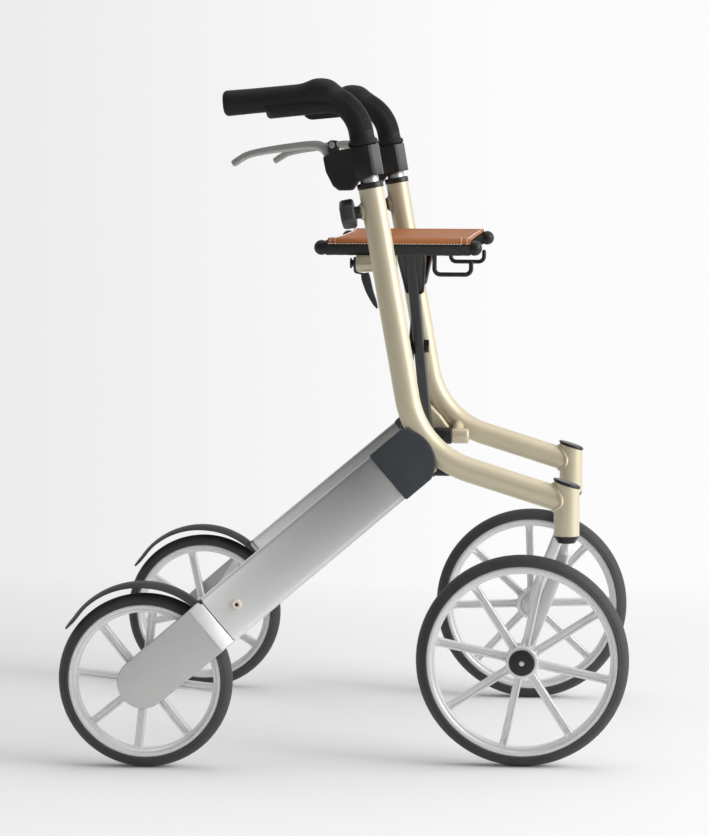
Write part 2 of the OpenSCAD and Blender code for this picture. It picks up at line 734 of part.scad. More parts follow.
// Release lever of the fold, hanging from the end of the rail's rest
module fold_catch(side) {
    points = [for (share = catch_shares) [
        rest_rear - catch_t / 2 - side_gap + share[0] * catch_l, rest_h - share[1] * catch_l, share[2] * catch_l
    ]];
    color(charcoal) on_side(side) difference() {
        union() {
            translate([rest_rear - catch_t - side_gap, rest_y, rest_h]) rotate([0, 90, 0])
                cylinder(r = catch_eye_r, h = catch_t);
            difference() {
                chain_plate(points, rest_y - catch_t / 2, catch_t);
                translate([rest_rear - side_gap, rest_y, rest_h]) rotate([0, 90, 0])
                    cylinder(r = rest_r + side_gap, h = rest_l);
            }
        }
        translate([rest_rear - 2 * catch_t, rest_y, rest_h]) rotate([0, 90, 0])
            cylinder(r = rest_bolt_r + run_fit, h = 3 * catch_t);
    }
}

// Post and bend of the handle at one radius, from a height on the upright
module handle_bend(r, from) {
    on_upright() translate([0, 0, handle_corner - handle_tangent]) {
        rotate([180, 0, 0]) straight(r, handle_corner - handle_tangent - from);
        translate([-handle_bend_r, 0, 0]) rotate([90, 0, 0])
            rotate_extrude(angle = handle_turn) translate([handle_bend_r, 0]) circle(r - bend_step);
    }
}

// Bent handle tube at one radius, from a height on the upright to a distance behind the corner
module handle_tube(r, from, to) {
    handle_bend(r, from);
    on_grip() translate([handle_tangent, 0, 0]) rotate([0, 90, 0]) straight(r, to - handle_tangent);
}

// Frame of the grip: origin at the handle's corner, +X to the rear along the grip, +Z down
module on_grip() {
    on_upright() translate([0, 0, handle_corner]) rotate([0, -90 - handle_turn, 0]) children();
}

// Inner tube of the handle, with a guide foot inside the upright
module handle_post(side) {
    foot = upright_l - post_depth;
    color(silver) on_side(side) difference() {
        union() {
            handle_tube(post_r, foot, post_end);
            on_upright() translate([0, 0, foot]) cylinder(r = tube_bore_r - run_fit, h = post_foot_l);
        }
        handle_tube(post_r - post_wall, foot - overrun, post_end + overrun);
    }
}

// Rubber grip over the bent tube, with a swelling, a finger rib and a collar
module grip(side) {
    swell = [for (share = swell_shares)
        [grip_r + share[1] * (grip_swell_d / 2 - grip_r), swell_start + share[0] * grip_swell_l]];
    root = swell_start - root_l;
    profile = concat([[0, root], [grip_r - root_taper, root], [grip_r, swell_start]], swell,
        [[grip_r, grip_l - grip_bevel], [grip_r - grip_bevel, grip_l], [0, grip_l]]);
    color(black) on_side(side) difference() {
        union() {
            handle_bend(grip_r, clamp_top);
            on_grip() {
                rotate([0, 90, 0]) rotate_extrude() polygon(profile);
                translate([swell_start + grip_swell_l / 2, -grip_rib_w / 2, 0])
                    cube([grip_rib_end - swell_start - grip_swell_l / 2, grip_rib_w, grip_rib_depth]);
            }
            on_upright() translate([0, 0, clamp_top]) cylinder(d = grip_collar_d, h = grip_collar_h);
        }
        handle_tube(post_r + fixed_fit, clamp_top - overrun, post_end + fixed_fit);
    }
}

// Clamp around the post with the brake's housing behind it and two lugs for the lever
module brake_housing(side) {
    color(black) on_side(side) on_upright() difference() {
        union() {
            translate([0, 0, clamp_bottom]) cylinder(d = clamp_d, h = clamp_h - fixed_fit);
            side_plate(-housing_w / 2, housing_w) polygon([for (share = housing_shares)
                [share[0] * housing_reach, clamp_bottom + share[1] * clamp_h]]);
            side_plate(-housing_w / 2, housing_w)
                link_2d([-lever_back, lever_h], lug_r, [-lever_back, clamp_top - lug_r], lug_root_r);
        }
        translate([0, 0, clamp_bottom - overrun]) cylinder(r = post_r + fixed_fit, h = clamp_h + 2 * overrun);
        side_plate(-slot_w / 2, slot_w) {
            translate([-lever_back, lever_h]) circle(lever_boss_r + side_gap);
            translate([-lever_back - housing_reach, lever_h - lever_boss_r - side_gap])
                square([housing_reach, clamp_h]);
        }
        translate([-lever_back, -housing_w, lever_h]) rotate([-90, 0, 0])
            cylinder(r = lever_pin_r + fixed_fit, h = 2 * housing_w);
    }
}

// Cast brake lever: a boss on the pin, a long blade and a drooping tip
module brake_lever(side) {
    points = concat([[-lever_back, lever_h, lever_boss_r]], [for (share = lever_shares)
        [-lever_back - share[0] * lever_l, lever_h + share[1] * lever_l, share[2] * lever_l]]);
    color(silver) on_side(side) on_upright() difference() {
        chain_plate(points, -lever_w / 2, lever_w);
        translate([-lever_back, -lever_w, lever_h]) rotate([-90, 0, 0])
            cylinder(r = lever_pin_r + run_fit, h = 2 * lever_w);
    }
}

// Pin of the brake lever, held in the housing's lugs
module lever_pin(side) {
    color(steel) on_side(side) on_upright() translate([-lever_back, -housing_w / 2, lever_h]) rotate([-90, 0, 0]) {
        cylinder(r = lever_pin_r, h = housing_w);
        translate([0, 0, housing_w]) cylinder(r = lever_pin_d, h = lever_pin_r / 2);
        translate([0, 0, -lever_pin_r / 2]) cylinder(r = lever_pin_d, h = lever_pin_r / 2);
    }
}

// Round clamp knob and its screw, which bears on the post
module clamp_knob(side) {
    color(black) on_side(side) on_upright() translate([-tube_r - knob_boss_l - side_gap, 0, knob_h])
        rotate([0, 90, 0]) {
            translate([0, 0, -knob_t]) cylinder(d = knob_d, h = knob_t);
            cylinder(d = knob_screw_d, h = tube_r + knob_boss_l - post_r);
        }
}

// Caster fork: stem in the head tube, crown over the tyre and one leg on the inner side of the wheel
module front_fork(side) {
    crown_l = frame_y - fork_leg_y;
    color(silver) on_side(side) difference() {
        union() {
            translate([head_x, frame_y, crown_h]) cylinder(r = stem_r, h = stem_top - crown_h);
            translate([head_x, frame_y, stem_top]) cylinder(r = stem_head_r, h = stem_head_h);
            translate([head_x, frame_y, crown_h]) sphere(crown_r);
            translate([head_x, frame_y - crown_l, crown_h]) rotate([-90, 0, 0]) cylinder(r = crown_r, h = crown_l);
            side_plate(fork_leg_y, fork_leg_t)
                link_2d([head_x, crown_h], fork_leg_head_r, [front_x, front_r], fork_leg_foot_r);
        }
        at_axle(front_x, fork_leg_y - overrun, front_r) cylinder(r = axle_r + fixed_fit, h = fork_leg_t + 2 * overrun);
    }
}

// Front axle bolt from the hub cap's hole to the fork's leg
module front_axle(side) {
    color(steel) on_side(side) at_axle(front_x, fork_leg_y - axle_head_h, front_r) {
        cylinder(r = axle_head_r, h = axle_head_h);
        cylinder(r = axle_r, h = axle_head_h + fork_leg_t + side_gap + hub_l + hub_cap_h);
    }
}

// Cap on the outer end of the front hub, with a hole over the axle's end
module hub_cap(side) {
    color(black) on_side(side) at_axle(front_x, frame_y + hub_l / 2, front_r) difference() {
        union() {
            cylinder(d = hub_cap_d, h = hub_cap_h);
            translate([0, 0, -hub_cap_h]) cylinder(r = bearing_r - fixed_fit, h = hub_cap_h);
        }
        translate([0, 0, -hub_cap_h - overrun]) cylinder(r = axle_r + side_gap, h = 2 * (hub_cap_h + overrun));
    }
}

// One-piece wheel: stepped rim, grooved spokes and a hub bored for two bearings
module spoked_rim(outer_r, first_spoke, outer_lip) {
    seat_r = outer_r - tyre_depth;
    spoke_l = seat_r - rim_depth / 2;
    difference() {
        union() {
            rotate_extrude() translate([seat_r, 0]) polygon([
                [0, -rim_w / 2], [0, rim_w / 2], [rim_step_depth - rim_depth, rim_w / 2],
                [rim_step_depth - rim_depth, rim_step_w / 2], [-rim_depth, rim_step_w / 2],
                [-rim_depth, -rim_step_w / 2], [rim_step_depth - rim_depth, -rim_step_w / 2],
                [rim_step_depth - rim_depth, -rim_w / 2]
            ]);
            for (i = [0 : spoke_count - 1]) rotate([0, 0, -first_spoke - i * 360 / spoke_count]) difference() {
                translate([0, -spoke_w / 2, -spoke_depth / 2]) cube([spoke_l, spoke_w, spoke_depth]);
                for (face = [-1, 1]) translate([hub_r, -spoke_groove_w / 2,
                    face * spoke_depth / 2 - spoke_groove_depth])
                    cube([spoke_l - hub_r - rim_depth, spoke_groove_w, 2 * spoke_groove_depth]);
            }
            translate([0, 0, -hub_l / 2]) cylinder(r = hub_r, h = hub_l);
        }
        translate([0, 0, -hub_l / 2 - overrun]) cylinder(r = axle_r + bearing_lip, h = hub_l + 2 * overrun);
        translate([0, 0, hub_l / 2 - outer_lip - bearing_w])
            cylinder(r = bearing_r, h = bearing_w + outer_lip + overrun);
        translate([0, 0, -hub_l / 2 - overrun]) cylinder(r = bearing_r, h = bearing_w + overrun);
    }
}

// Tyre: a round section seated on the rim
module tyre(outer_r) {
    section_r = tyre_section_d / 2;
    rotate_extrude() difference() {
        translate([outer_r - section_r, 0]) circle(section_r);
        translate([0, -section_r]) square([outer_r - tyre_depth, tyre_section_d]);
    }
}

// Two bearings in the ends of a hub
module bearings(outer_lip) {
    for (start = [-hub_l / 2, hub_l / 2 - outer_lip - bearing_w]) translate([0, 0, start]) difference() {
        cylinder(r = bearing_r - fixed_fit, h = bearing_w);
        translate([0, 0, -overrun]) cylinder(r = axle_r + run_fit, h = bearing_w + 2 * overrun);
    }
}

module front_rim(side) {
    color(silver) on_side(side) at_axle(front_x, frame_y, front_r)
        spoked_rim(front_r, front_spoke_angle, hub_cap_h);
}

module front_tyre(side) {
    color(black) on_side(side) at_axle(front_x, frame_y, front_r) tyre(front_r);
}

module front_bearings(side) {
    color(steel) on_side(side) at_axle(front_x, frame_y, front_r) bearings(hub_cap_h);
}

// Rear axle bolt, screwed into the fork's plate from the inside
module rear_axle(side) {
    color(steel) on_side(side) at_axle(rear_x, rear_y - hub_l / 2 - side_gap - axle_head_h, rear_r) {
        cylinder(r = axle_head_r, h = axle_head_h);
        cylinder(r = axle_r, h = axle_head_h + hub_l + side_gap + axle_seat);
    }
}

module rear_rim(side) {
    color(silver) on_side(side) at_axle(rear_x, rear_y, rear_r) spoked_rim(rear_r, rear_spoke_angle, 0);
}

module rear_tyre(side) {
    color(black) on_side(side) at_axle(rear_x, rear_y, rear_r) tyre(rear_r);
}

module rear_bearings(side) {
    color(steel) on_side(side) at_axle(rear_x, rear_y, rear_r) bearings(0);
}

// One arm of the X: from the lower pivot on the left to the rail on the right, with the rail's bracket
module arm(plane_x) {
    foot = [pivot_y, arm_pivot_h];
    cross = [0, cross_h];
    top = [-rail_y, rail_h];
    color(charcoal) difference() {
        union() {
            translate([plane_x, 0, 0]) rotate([90, 0, 90]) linear_extrude(arm_t) {
                link_2d(foot, arm_h / 2, cross, arm_h / 2);
                link_2d(cross, arm_h / 2, top, arm_end_r);
            }
            translate([plane_x + arm_t / 2, -rail_y, rail_h]) rotate([180 - arm_slope, 0, 0])
                translate([0, 0, -bracket_t / 2]) linear_extrude(bracket_t) polygon([
                    [-bracket_top_w / 2, 0], [bracket_top_w / 2, 0], [bracket_top_w / 2, -bracket_l / 4],
                    [bracket_foot_w / 2, -bracket_l], [-bracket_foot_w / 2, -bracket_l],
                    [-bracket_top_w / 2, -bracket_l / 4]
                ]);
        }
        translate([plane_x - cut_block / 2, -rail_y, rail_h]) rotate([0, 90, 0])
            cylinder(r = rail_r + fixed_fit, h = cut_block);
        translate([plane_x - cut_block / 2, -rail_y - cut_block / 2, rail_h])
            cube([cut_block, cut_block, cut_block]);
        for (place = [foot, cross]) translate([plane_x - overrun, place[0], place[1]]) rotate([0, 90, 0])
            cylinder(r = pivot_d / 2 + run_fit, h = arm_t + 2 * overrun);
    }
}

module front_arm() {
    arm(arm_plane_x + arm_gap / 2);
}

module rear_arm() {
    mirror([0, 1, 0]) arm(arm_plane_x - arm_gap / 2 - arm_t);
}

// Bolt through the crossing of the arms, with a washer between them
module arm_pivot() {
    grip_half = arm_t + arm_gap / 2 + side_gap;
    color(steel) translate([arm_plane_x, 0, cross_h]) rotate([0, 90, 0]) {
        translate([0, 0, -grip_half]) cylinder(r = pivot_d / 2, h = 2 * grip_half);
        translate([0, 0, grip_half]) cylinder(r = bolt_head_r, h = bolt_head_h);
        translate([0, 0, -grip_half - bolt_head_h]) cylinder(r = bolt_head_r, h = bolt_head_h);
    }
}

// Seat rail with ball ends and the bag hook welded below it
module rail(side) {
    bottom = rail_h - hook_depth;
    color(black) on_side(side) translate([seat_x, rail_y, 0]) {
        translate([-rail_rear, 0, rail_h]) rotate([0, 90, 0]) cylinder(r = rail_r, h = rail_rear + rail_front);
        for (x = [-rail_rear, rail_front]) translate([x, 0, rail_h]) sphere(d = rail_ball_d);
        translate([hook_start, 0, bottom + hook_bend_r]) cylinder(r = hook_r, h = hook_depth - hook_bend_r);
        translate([hook_start + hook_bend_r, 0, bottom]) rotate([0, 90, 0])
            cylinder(r = hook_r, h = hook_l - 2 * hook_bend_r);
        translate([hook_start + hook_l, 0, bottom + hook_bend_r]) cylinder(r = hook_r, h = hook_lip - hook_bend_r);
        translate([hook_start + hook_l, 0, bottom + hook_lip]) sphere(hook_r);
        for (bend = [[hook_start + hook_bend_r, 180], [hook_start + hook_l - hook_bend_r, 270]])
            translate([bend[0], 0, bottom + hook_bend_r]) rotate([90, 0, 0]) rotate([0, 0, bend[1]])
                rotate_extrude(angle = 90) translate([hook_bend_r, 0]) circle(hook_r);
    }
}

module left_rail() {
    rail(left);
}

module right_rail() {
    rail(right);
}

// Seat sling: a panel across the rails, lapped over each rail
module seat_sling() {
    lap_r = rail_r + soft_gap;
    start = sling_inset + rail_ball_d / 2 - rail_rear;
    sling_l = rail_front - rail_ball_d / 2 - sling_inset - start;
    color(leather) translate([seat_x + start, 0, rail_h]) rotate([90, 0, 90]) linear_extrude(sling_l) difference() {
        union() {
            for (side = [left, right]) translate([side * rail_y, 0]) circle(lap_r + sling_t);
            translate([-rail_y, lap_r]) square([2 * rail_y, sling_t]);
        }
        for (side = [left, right]) translate([side * rail_y, 0]) circle(lap_r);
        translate([-rail_track, -rail_track]) square([2 * rail_track, rail_track]);
    }
}

for (entry = SIDES) {
    name = entry[0];
    side = entry[1];
    side_frame(side);
    head_cap(side);
    steering_bushes(side);
    beam(side);
    beam_cover(side);
    rear_fork(side);
    frame_bolts(side);
    mudguard(side);
    brake_shoe(side);
    post_bush(side);
    fold_catch(side);
    handle_post(side);
    grip(side);
    brake_housing(side);
    brake_lever(side);
    lever_pin(side);
    clamp_knob(side);
    front_fork(side);
    front_axle(side);
    hub_cap(side);
    front_rim(side);
    front_tyre(side);
    front_bearings(side);
    rear_axle(side);
    rear_rim(side);
    rear_tyre(side);
    rear_bearings(side);
}
front_arm();
rear_arm();
arm_pivot();
left_rail();
right_rail();
seat_sling();
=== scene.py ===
import json
import math

import bmesh
import bpy
from mathutils import Matrix, Vector
from mathutils.bvhtree import BVHTree


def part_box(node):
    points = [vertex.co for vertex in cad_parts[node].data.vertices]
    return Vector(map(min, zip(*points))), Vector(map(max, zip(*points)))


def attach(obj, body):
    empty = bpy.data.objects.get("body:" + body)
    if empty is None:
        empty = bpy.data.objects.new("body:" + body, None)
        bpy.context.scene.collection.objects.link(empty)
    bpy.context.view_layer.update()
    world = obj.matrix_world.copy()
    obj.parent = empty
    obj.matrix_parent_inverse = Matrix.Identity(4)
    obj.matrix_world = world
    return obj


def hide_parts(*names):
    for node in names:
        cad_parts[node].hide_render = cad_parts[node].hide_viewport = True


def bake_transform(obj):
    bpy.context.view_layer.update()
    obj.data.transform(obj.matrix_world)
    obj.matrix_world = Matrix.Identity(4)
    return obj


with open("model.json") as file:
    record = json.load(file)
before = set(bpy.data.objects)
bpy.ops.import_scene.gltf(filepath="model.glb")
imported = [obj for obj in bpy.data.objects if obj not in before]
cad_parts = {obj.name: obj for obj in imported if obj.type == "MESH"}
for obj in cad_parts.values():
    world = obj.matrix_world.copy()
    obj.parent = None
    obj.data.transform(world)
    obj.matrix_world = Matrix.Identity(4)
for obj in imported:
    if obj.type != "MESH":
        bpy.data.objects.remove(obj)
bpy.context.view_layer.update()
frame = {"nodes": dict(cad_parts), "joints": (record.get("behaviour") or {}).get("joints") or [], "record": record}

bl_info = {
    "name": "All-terrain rollator",
    "version": (1, 0, 0),
    "blender": (4, 5, 0),
    "location": "View3D > Sidebar > Rollator",
    "description": "Dresses the packed frame of an all-terrain rollator",
    "category": "Object",
}

# Places on the left side, in metres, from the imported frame's joints and boxes
JOINT = {joint["name"]: joint for joint in frame["joints"]}
SIDES = {"left": 1.0, "right": -1.0}
ACROSS = Vector((0.0, 1.0, 0.0))
FRONT_AXLE = Vector(JOINT["left_front_wheel_spin"]["pos_m"])
REAR_AXLE = Vector(JOINT["left_rear_wheel_spin"]["pos_m"])
STEERING = Vector(JOINT["left_caster_swivel"]["pos_m"])
LEVER_PIVOT = Vector(JOINT["left_lever_squeeze"]["pos_m"])
ARM_PIVOT = Vector(JOINT["left_fold"]["pos_m"])
CATCH_PIVOT = Vector(JOINT["left_catch_swing"]["pos_m"])
LEAN = math.radians(10.1)
FALL = math.radians(17.4)
UP = Vector((-math.sin(LEAN), 0.0, math.cos(LEAN)))
AHEAD = Vector((math.cos(LEAN), 0.0, math.sin(LEAN)))
BAR = Vector((math.cos(FALL), 0.0, -math.sin(FALL)))
BEAM_REACH = 0.314
CORNER = Vector((REAR_AXLE.x + BEAM_REACH, FRONT_AXLE.y, 0.368))
UPRIGHT_L = 0.318
BEND_R = 0.107
BEND_TURN = math.pi / 2 - LEAN - FALL
BEND_TANGENT = BEND_R * math.tan(BEND_TURN / 2)
HEAD_BOTTOM = 0.2726
HEAD_TOP = CORNER.z - (STEERING.x - CORNER.x) * math.tan(FALL) + 0.020
CLAMP_BOTTOM = 0.3275
CLAMP_TOP = 0.3635
GRIP_CORNER = 0.427
GRIP_TURN = math.radians(85.3)
GRIP_BEND_R = 0.0515
KNOB_H = 0.2884
BEAM_L = math.hypot(BEAM_REACH, CORNER.z - REAR_AXLE.z)
BEAM_SEAM = 0.113
BEAM_SPLAY = math.atan2(REAR_AXLE.y - CORNER.y - 0.002, BEAM_L - BEAM_SEAM)
COVER_START = BEAM_L + BEND_R * (1 / math.cos(BEND_TURN / 2) - 1) - 0.063
ALONG = Vector((BEAM_REACH, 0.0, CORNER.z - REAR_AXLE.z)).normalized()
OVER = Vector((-ALONG.z, 0.0, ALONG.x))
RAIL_Y = 0.205
RAIL_Z = 0.6065
RAIL_R = 0.008
DARK_BOLTS = ("frame_bolts", "pivot")
WHEELS = (("front", FRONT_AXLE), ("rear", REAR_AXLE))
HUB_HALF = 0.018
CAMERA_AT = (0.2999, -4.0329, 0.7341)
CAMERA_YAW, CAMERA_PITCH, CAMERA_ROLL = math.radians(4.369), math.radians(4.893), math.radians(0.188)
CAMERA_LENS = 140.55


def length(name, default, text):
    """A size in metres."""
    return bpy.props.FloatProperty(name=name, description=text, default=default, min=0.0, precision=4,
                                   unit="LENGTH")


def turn(name, degrees, text):
    """An angle."""
    return bpy.props.FloatProperty(name=name, description=text, default=math.radians(degrees), unit="ROTATION")


def colour(name, default, text):
    """A colour."""
    return bpy.props.FloatVectorProperty(name=name, description=text, default=default, size=3, min=0.0, max=1.0,
                                         subtype="COLOR")


class RollatorSizes(bpy.types.PropertyGroup):
    """Sizes of the dressed pieces"""
    tube_r: length("Main tube radius", 0.0145, "Radius of the bent main tube")
    head_r: length("Head tube radius", 0.015, "Radius of the steering head")
    tyre_section: length("Tyre section", 0.015, "Radius of a tyre's round section")
    tyre_depth: length("Tyre depth", 0.012, "Depth of tyre outside the rim")
    tyre_groove: length("Tyre groove", 0.0005, "Depth of the line beside a rim")
    rim_w: length("Rim width", 0.024, "Width of a rim")
    rim_round: length("Rim rounding", 0.0012, "Rounding of a rim's edges")
    spoke_count: bpy.props.IntProperty(name="Spokes", description="Spokes in a wheel", default=8, min=3)
    spoke_w: length("Spoke width", 0.0094, "Width of a spoke")
    spoke_flare: length("Spoke flare", 0.0008, "Widening of a spoke at the rim")
    spoke_groove: length("Spoke groove", 0.0028, "Depth of the groove along a spoke")
    front_spoke_turn: turn("Front spoke angle", 33.0, "Angle of the first front spoke above the horizontal")
    left_spoke_turn: turn("Left front spoke angle", 2.0, "Angle of the left front wheel's first spoke")
    rear_spoke_turn: turn("Rear spoke angle", 39.0, "Angle of the first rear spoke above the horizontal")
    left_rear_turn: turn("Left rear spoke angle", 12.0, "Angle of the left rear wheel's first spoke")
    guard_w: length("Mudguard width", 0.038, "Width of a mudguard")
    guard_t: length("Mudguard thickness", 0.0025, "Thickness of a mudguard")
    beam_bulge: length("Beam bulge", 0.0022, "Rounding out of the beam's sides")
    beam_top_round: length("Beam upper rounding", 0.004, "Rounding of the beam's upper edges")
    beam_low_round: length("Beam lower rounding", 0.010, "Rounding of the beam's lower edges")
    cover_round: length("Cover rounding", 0.0026, "Rounding of the beam cover's edges")
    fork_round: length("Rear fork rounding", 0.0016, "Rounding of the rear fork's edges")
    grip_r: length("Grip radius", 0.0146, "Radius of a hand grip")
    grip_swell: length("Grip swelling", 0.0054, "Height of the swelling above the grip")
    rib_turn: turn("Grip rib angle", 32.0, "How far the rib below a grip is turned outwards")
    dot_spacing: length("Grip dot spacing", 0.0024, "Distance between the dots on a grip's elbow")
    lever_w: length("Lever width", 0.013, "Width of a brake lever")
    knob_r: length("Knob radius", 0.0172, "Radius of a clamp knob")
    weld_bead: length("Weld bead", 0.0023, "Half width of a weld bead")
    leather_t: length("Leather thickness", 0.0024, "Thickness of the seat's leather")
    seat_sag: length("Seat sag", 0.0012, "Sag of the seat between its rails")
    front_bow: length("Front bow", 0.003, "How far the seat's front edge is cut in at its middle")
    rear_bow: length("Rear bow", 0.001, "How far the seat's rear edge is cut in at its middle")
    stitch_l: length("Stitch length", 0.0024, "Length of a seat stitch")
    thread_r: length("Thread radius", 0.0005, "Half the thickness of a seat stitch")
    stitch_gap: length("Stitch gap", 0.0011, "Gap between two seat stitches")


class RollatorColours(bpy.types.PropertyGroup):
    """Colours of the finishes"""
    champagne: colour("Champagne paint", (0.62, 0.556, 0.40), "Paint of the side frames")
    silver: colour("Silver paint", (0.56, 0.565, 0.555), "Satin silver of the rear forks")
    beam: colour("Beam silver", (0.66, 0.665, 0.655), "Satin silver of the beams")
    rim: colour("Rim silver", (0.74, 0.745, 0.75), "Lacquer of the wheels")
    lever: colour("Lever metal", (0.42, 0.42, 0.405), "Cast metal of the brake levers")
    steel: colour("Steel", (0.62, 0.62, 0.62), "Turned steel of bolts and pins")
    charcoal: colour("Charcoal plastic", (0.040, 0.047, 0.053), "Moulded covers and mudguards")
    black_plastic: colour("Black plastic", (0.013, 0.013, 0.0135), "Housings, caps and bushes")
    knob: colour("Knob plastic", (0.040, 0.040, 0.042), "Clamp knobs")
    arm_black: colour("Black paint", (0.014, 0.0145, 0.015), "Seat arms and rails")
    rubber: colour("Grip rubber", (0.015, 0.015, 0.0155), "Hand grips and brake shoes")
    tyre: colour("Tyre rubber", (0.036, 0.036, 0.038), "Tyres")
    leather: colour("Leather", (0.40, 0.138, 0.040), "Seat leather")
    thread: colour("Thread", (0.80, 0.77, 0.70), "Seat stitching")
    sleeve: colour("Sleeve fabric", (0.018, 0.020, 0.020), "Black sleeves on the seat rails")
    cream: colour("Cream plastic", (0.76, 0.66, 0.57), "Caps of the fork bolts")
    floor: colour("Floor", (0.87, 0.87, 0.87), "Floor and backdrop")
    # Painted light: the backdrop's glow runs from painted shade in the left colour to a painted lit side in the right
    # colour.
    wall_shaded_left: colour("Backdrop left", (0.83, 0.83, 0.83), "Tone of the backdrop at the left")
    wall_lit_right: colour("Backdrop right", (0.97, 0.97, 0.97), "Tone of the backdrop at the right")


# Materials


def new_material(name):
    """A material with an empty node tree, its shader and its Object coordinates."""
    material = bpy.data.materials.new(name)
    material.use_nodes = True
    nodes, links = material.node_tree.nodes, material.node_tree.links
    shader = nodes["Principled BSDF"]
    where = nodes.new("ShaderNodeTexCoord").outputs["Object"]
    return material, nodes, links, shader, where


def noise(nodes, links, where, scale, detail=3.0, rough=0.5):
    """Noise of one scale on the piece's own coordinates."""
    node = nodes.new("ShaderNodeTexNoise")
    node.inputs["Scale"].default_value = scale
    node.inputs["Detail"].default_value = detail
    node.inputs["Roughness"].default_value = rough
    links.new(where, node.inputs["Vector"])
    return node.outputs["Fac"]


def spread(nodes, links, value, low, high, start=0.0, end=1.0):
    """A value mapped to a range."""
    node = nodes.new("ShaderNodeMapRange")
    node.inputs["From Min"].default_value = start
    node.inputs["From Max"].default_value = end
    node.inputs["To Min"].default_value = low
    node.inputs["To Max"].default_value = high
    links.new(value, node.inputs["Value"])
    return node.outputs["Result"]


def tint(nodes, links, value, dark, light):
    """A ramp between two colours."""
    node = nodes.new("ShaderNodeMix")
    node.data_type = "RGBA"
    node.inputs["A"].default_value = (*dark, 1.0)
    node.inputs["B"].default_value = (*light, 1.0)
    links.new(value, node.inputs["Factor"])
    return node.outputs["Result"]


def bump(nodes, links, value, strength, distance, normal=None):
    """A bump from a height."""
    node = nodes.new("ShaderNodeBump")
    node.inputs["Strength"].default_value = strength
    node.inputs["Distance"].default_value = distance
    links.new(value, node.inputs["Height"])
    if normal is not None:
        links.new(normal, node.inputs["Normal"])
    return node.outputs["Normal"]


def sums(nodes, links, operation, first, second):
    """One step of arithmetic on two values, each a socket or a number."""
    step = nodes.new("ShaderNodeMath")
    step.operation = operation
    for place, value in zip(step.inputs, (first, second)):
        if isinstance(value, float):
            place.default_value = value
        else:
            links.new(value, place)
    return step.outputs["Value"]


def shade(base, factor):
    """A colour made darker or lighter."""
    return tuple(min(1.0, part * factor) for part in base)


def finish(name, base, rough, grain, height, vary=0.10, metallic=0.0, coat=0.0, patch=40.0, specular=0.5,
           gloss=0.05):
    """A finish with fine grain in its surface, and slow changes of tone and gloss."""
    material, nodes, links, shader, where = new_material(name)
    slow = noise(nodes, links, where, patch, 4.0)
    links.new(tint(nodes, links, spread(nodes, links, slow, 0.0, 1.0, 0.3, 0.7), shade(base, 1.0 - vary),
                   shade(base, 1.0 + vary)), shader.inputs["Base Color"])
    links.new(spread(nodes, links, slow, rough - gloss, rough + gloss, 0.3, 0.7), shader.inputs["Roughness"])
    if height > 0.0:
        fine = noise(nodes, links, where, grain, 2.0)
        links.new(bump(nodes, links, fine, 0.35, height), shader.inputs["Normal"])
    shader.inputs["Metallic"].default_value = metallic
    shader.inputs["Coat Weight"].default_value = coat
    shader.inputs["Coat Roughness"].default_value = 0.2
    shader.inputs["Specular IOR Level"].default_value = specular
    return material


def beam_finish(name, base):
    """Satin silver with slow lines along the beam, and painted light in its colour: a painted reflection makes it
    paler towards its lower end and its lower edge, and painted shade makes it darker towards its upper end and its
    upper edge.
    """
    material, nodes, links, shader, where = new_material(name)
    turned = nodes.new("ShaderNodeMapping")
    turned.inputs["Rotation"].default_value = (0.0, math.atan2(ALONG.z, ALONG.x), 0.0)
    turned.inputs["Location"].default_value = (-CORNER.x * ALONG.x - CORNER.z * ALONG.z, 0.0,
                                               CORNER.x * ALONG.z - CORNER.z * ALONG.x)
    links.new(where, turned.inputs["Vector"])
    place = nodes.new("ShaderNodeSeparateXYZ")
    links.new(turned.outputs["Vector"], place.inputs["Vector"])
    stretched = nodes.new("ShaderNodeMapping")
    stretched.inputs["Scale"].default_value = (5.0, 160.0, 160.0)
    links.new(turned.outputs["Vector"], stretched.inputs["Vector"])
    lines = noise(nodes, links, stretched.outputs["Vector"], 1.0, 2.0)
    # Painted light: this mask grows from 0 at the beam's lower end to 1 at its upper end, and stays lower along its
    # lower edge; it runs the colour from a painted reflection, paler than the base, to painted shade, darker than the
    # base.
    up = sums(nodes, links, "MULTIPLY", spread(nodes, links, place.outputs["X"], 0.0, 1.0, -0.30, -0.07),
              spread(nodes, links, place.outputs["Z"], 0.45, 1.0, -0.030, 0.030))
    links.new(tint(nodes, links, up, shade(base, 1.30), shade(base, 0.45)), shader.inputs["Base Color"])
    links.new(spread(nodes, links, lines, 0.358, 0.364, 0.3, 0.7), shader.inputs["Roughness"])
    shader.inputs["Metallic"].default_value = 0.55
    return material


def leather_finish(name, base):
    """Smooth leather with a fine cell grain and soft creases."""
    material, nodes, links, shader, where = new_material(name)
    cells = nodes.new("ShaderNodeTexVoronoi")
    cells.feature = "DISTANCE_TO_EDGE"
    cells.inputs["Scale"].default_value = 900.0
    links.new(where, cells.inputs["Vector"])
    slow = noise(nodes, links, where, 22.0, 5.0, 0.55)
    pores = noise(nodes, links, where, 2600.0, 2.0)
    links.new(tint(nodes, links, spread(nodes, links, slow, 0.0, 1.0, 0.3, 0.7), shade(base, 0.90),
                   shade(base, 1.07)), shader.inputs["Base Color"])
    links.new(spread(nodes, links, slow, 0.48, 0.58, 0.3, 0.7), shader.inputs["Roughness"])
    shader.inputs["Specular IOR Level"].default_value = 0.16
    first = bump(nodes, links, spread(nodes, links, cells.outputs["Distance"], 0.0, 1.0, 0.0, 0.12), 0.30, 0.00012)
    links.new(bump(nodes, links, pores, 0.2, 0.00006, first), shader.inputs["Normal"])
    return material


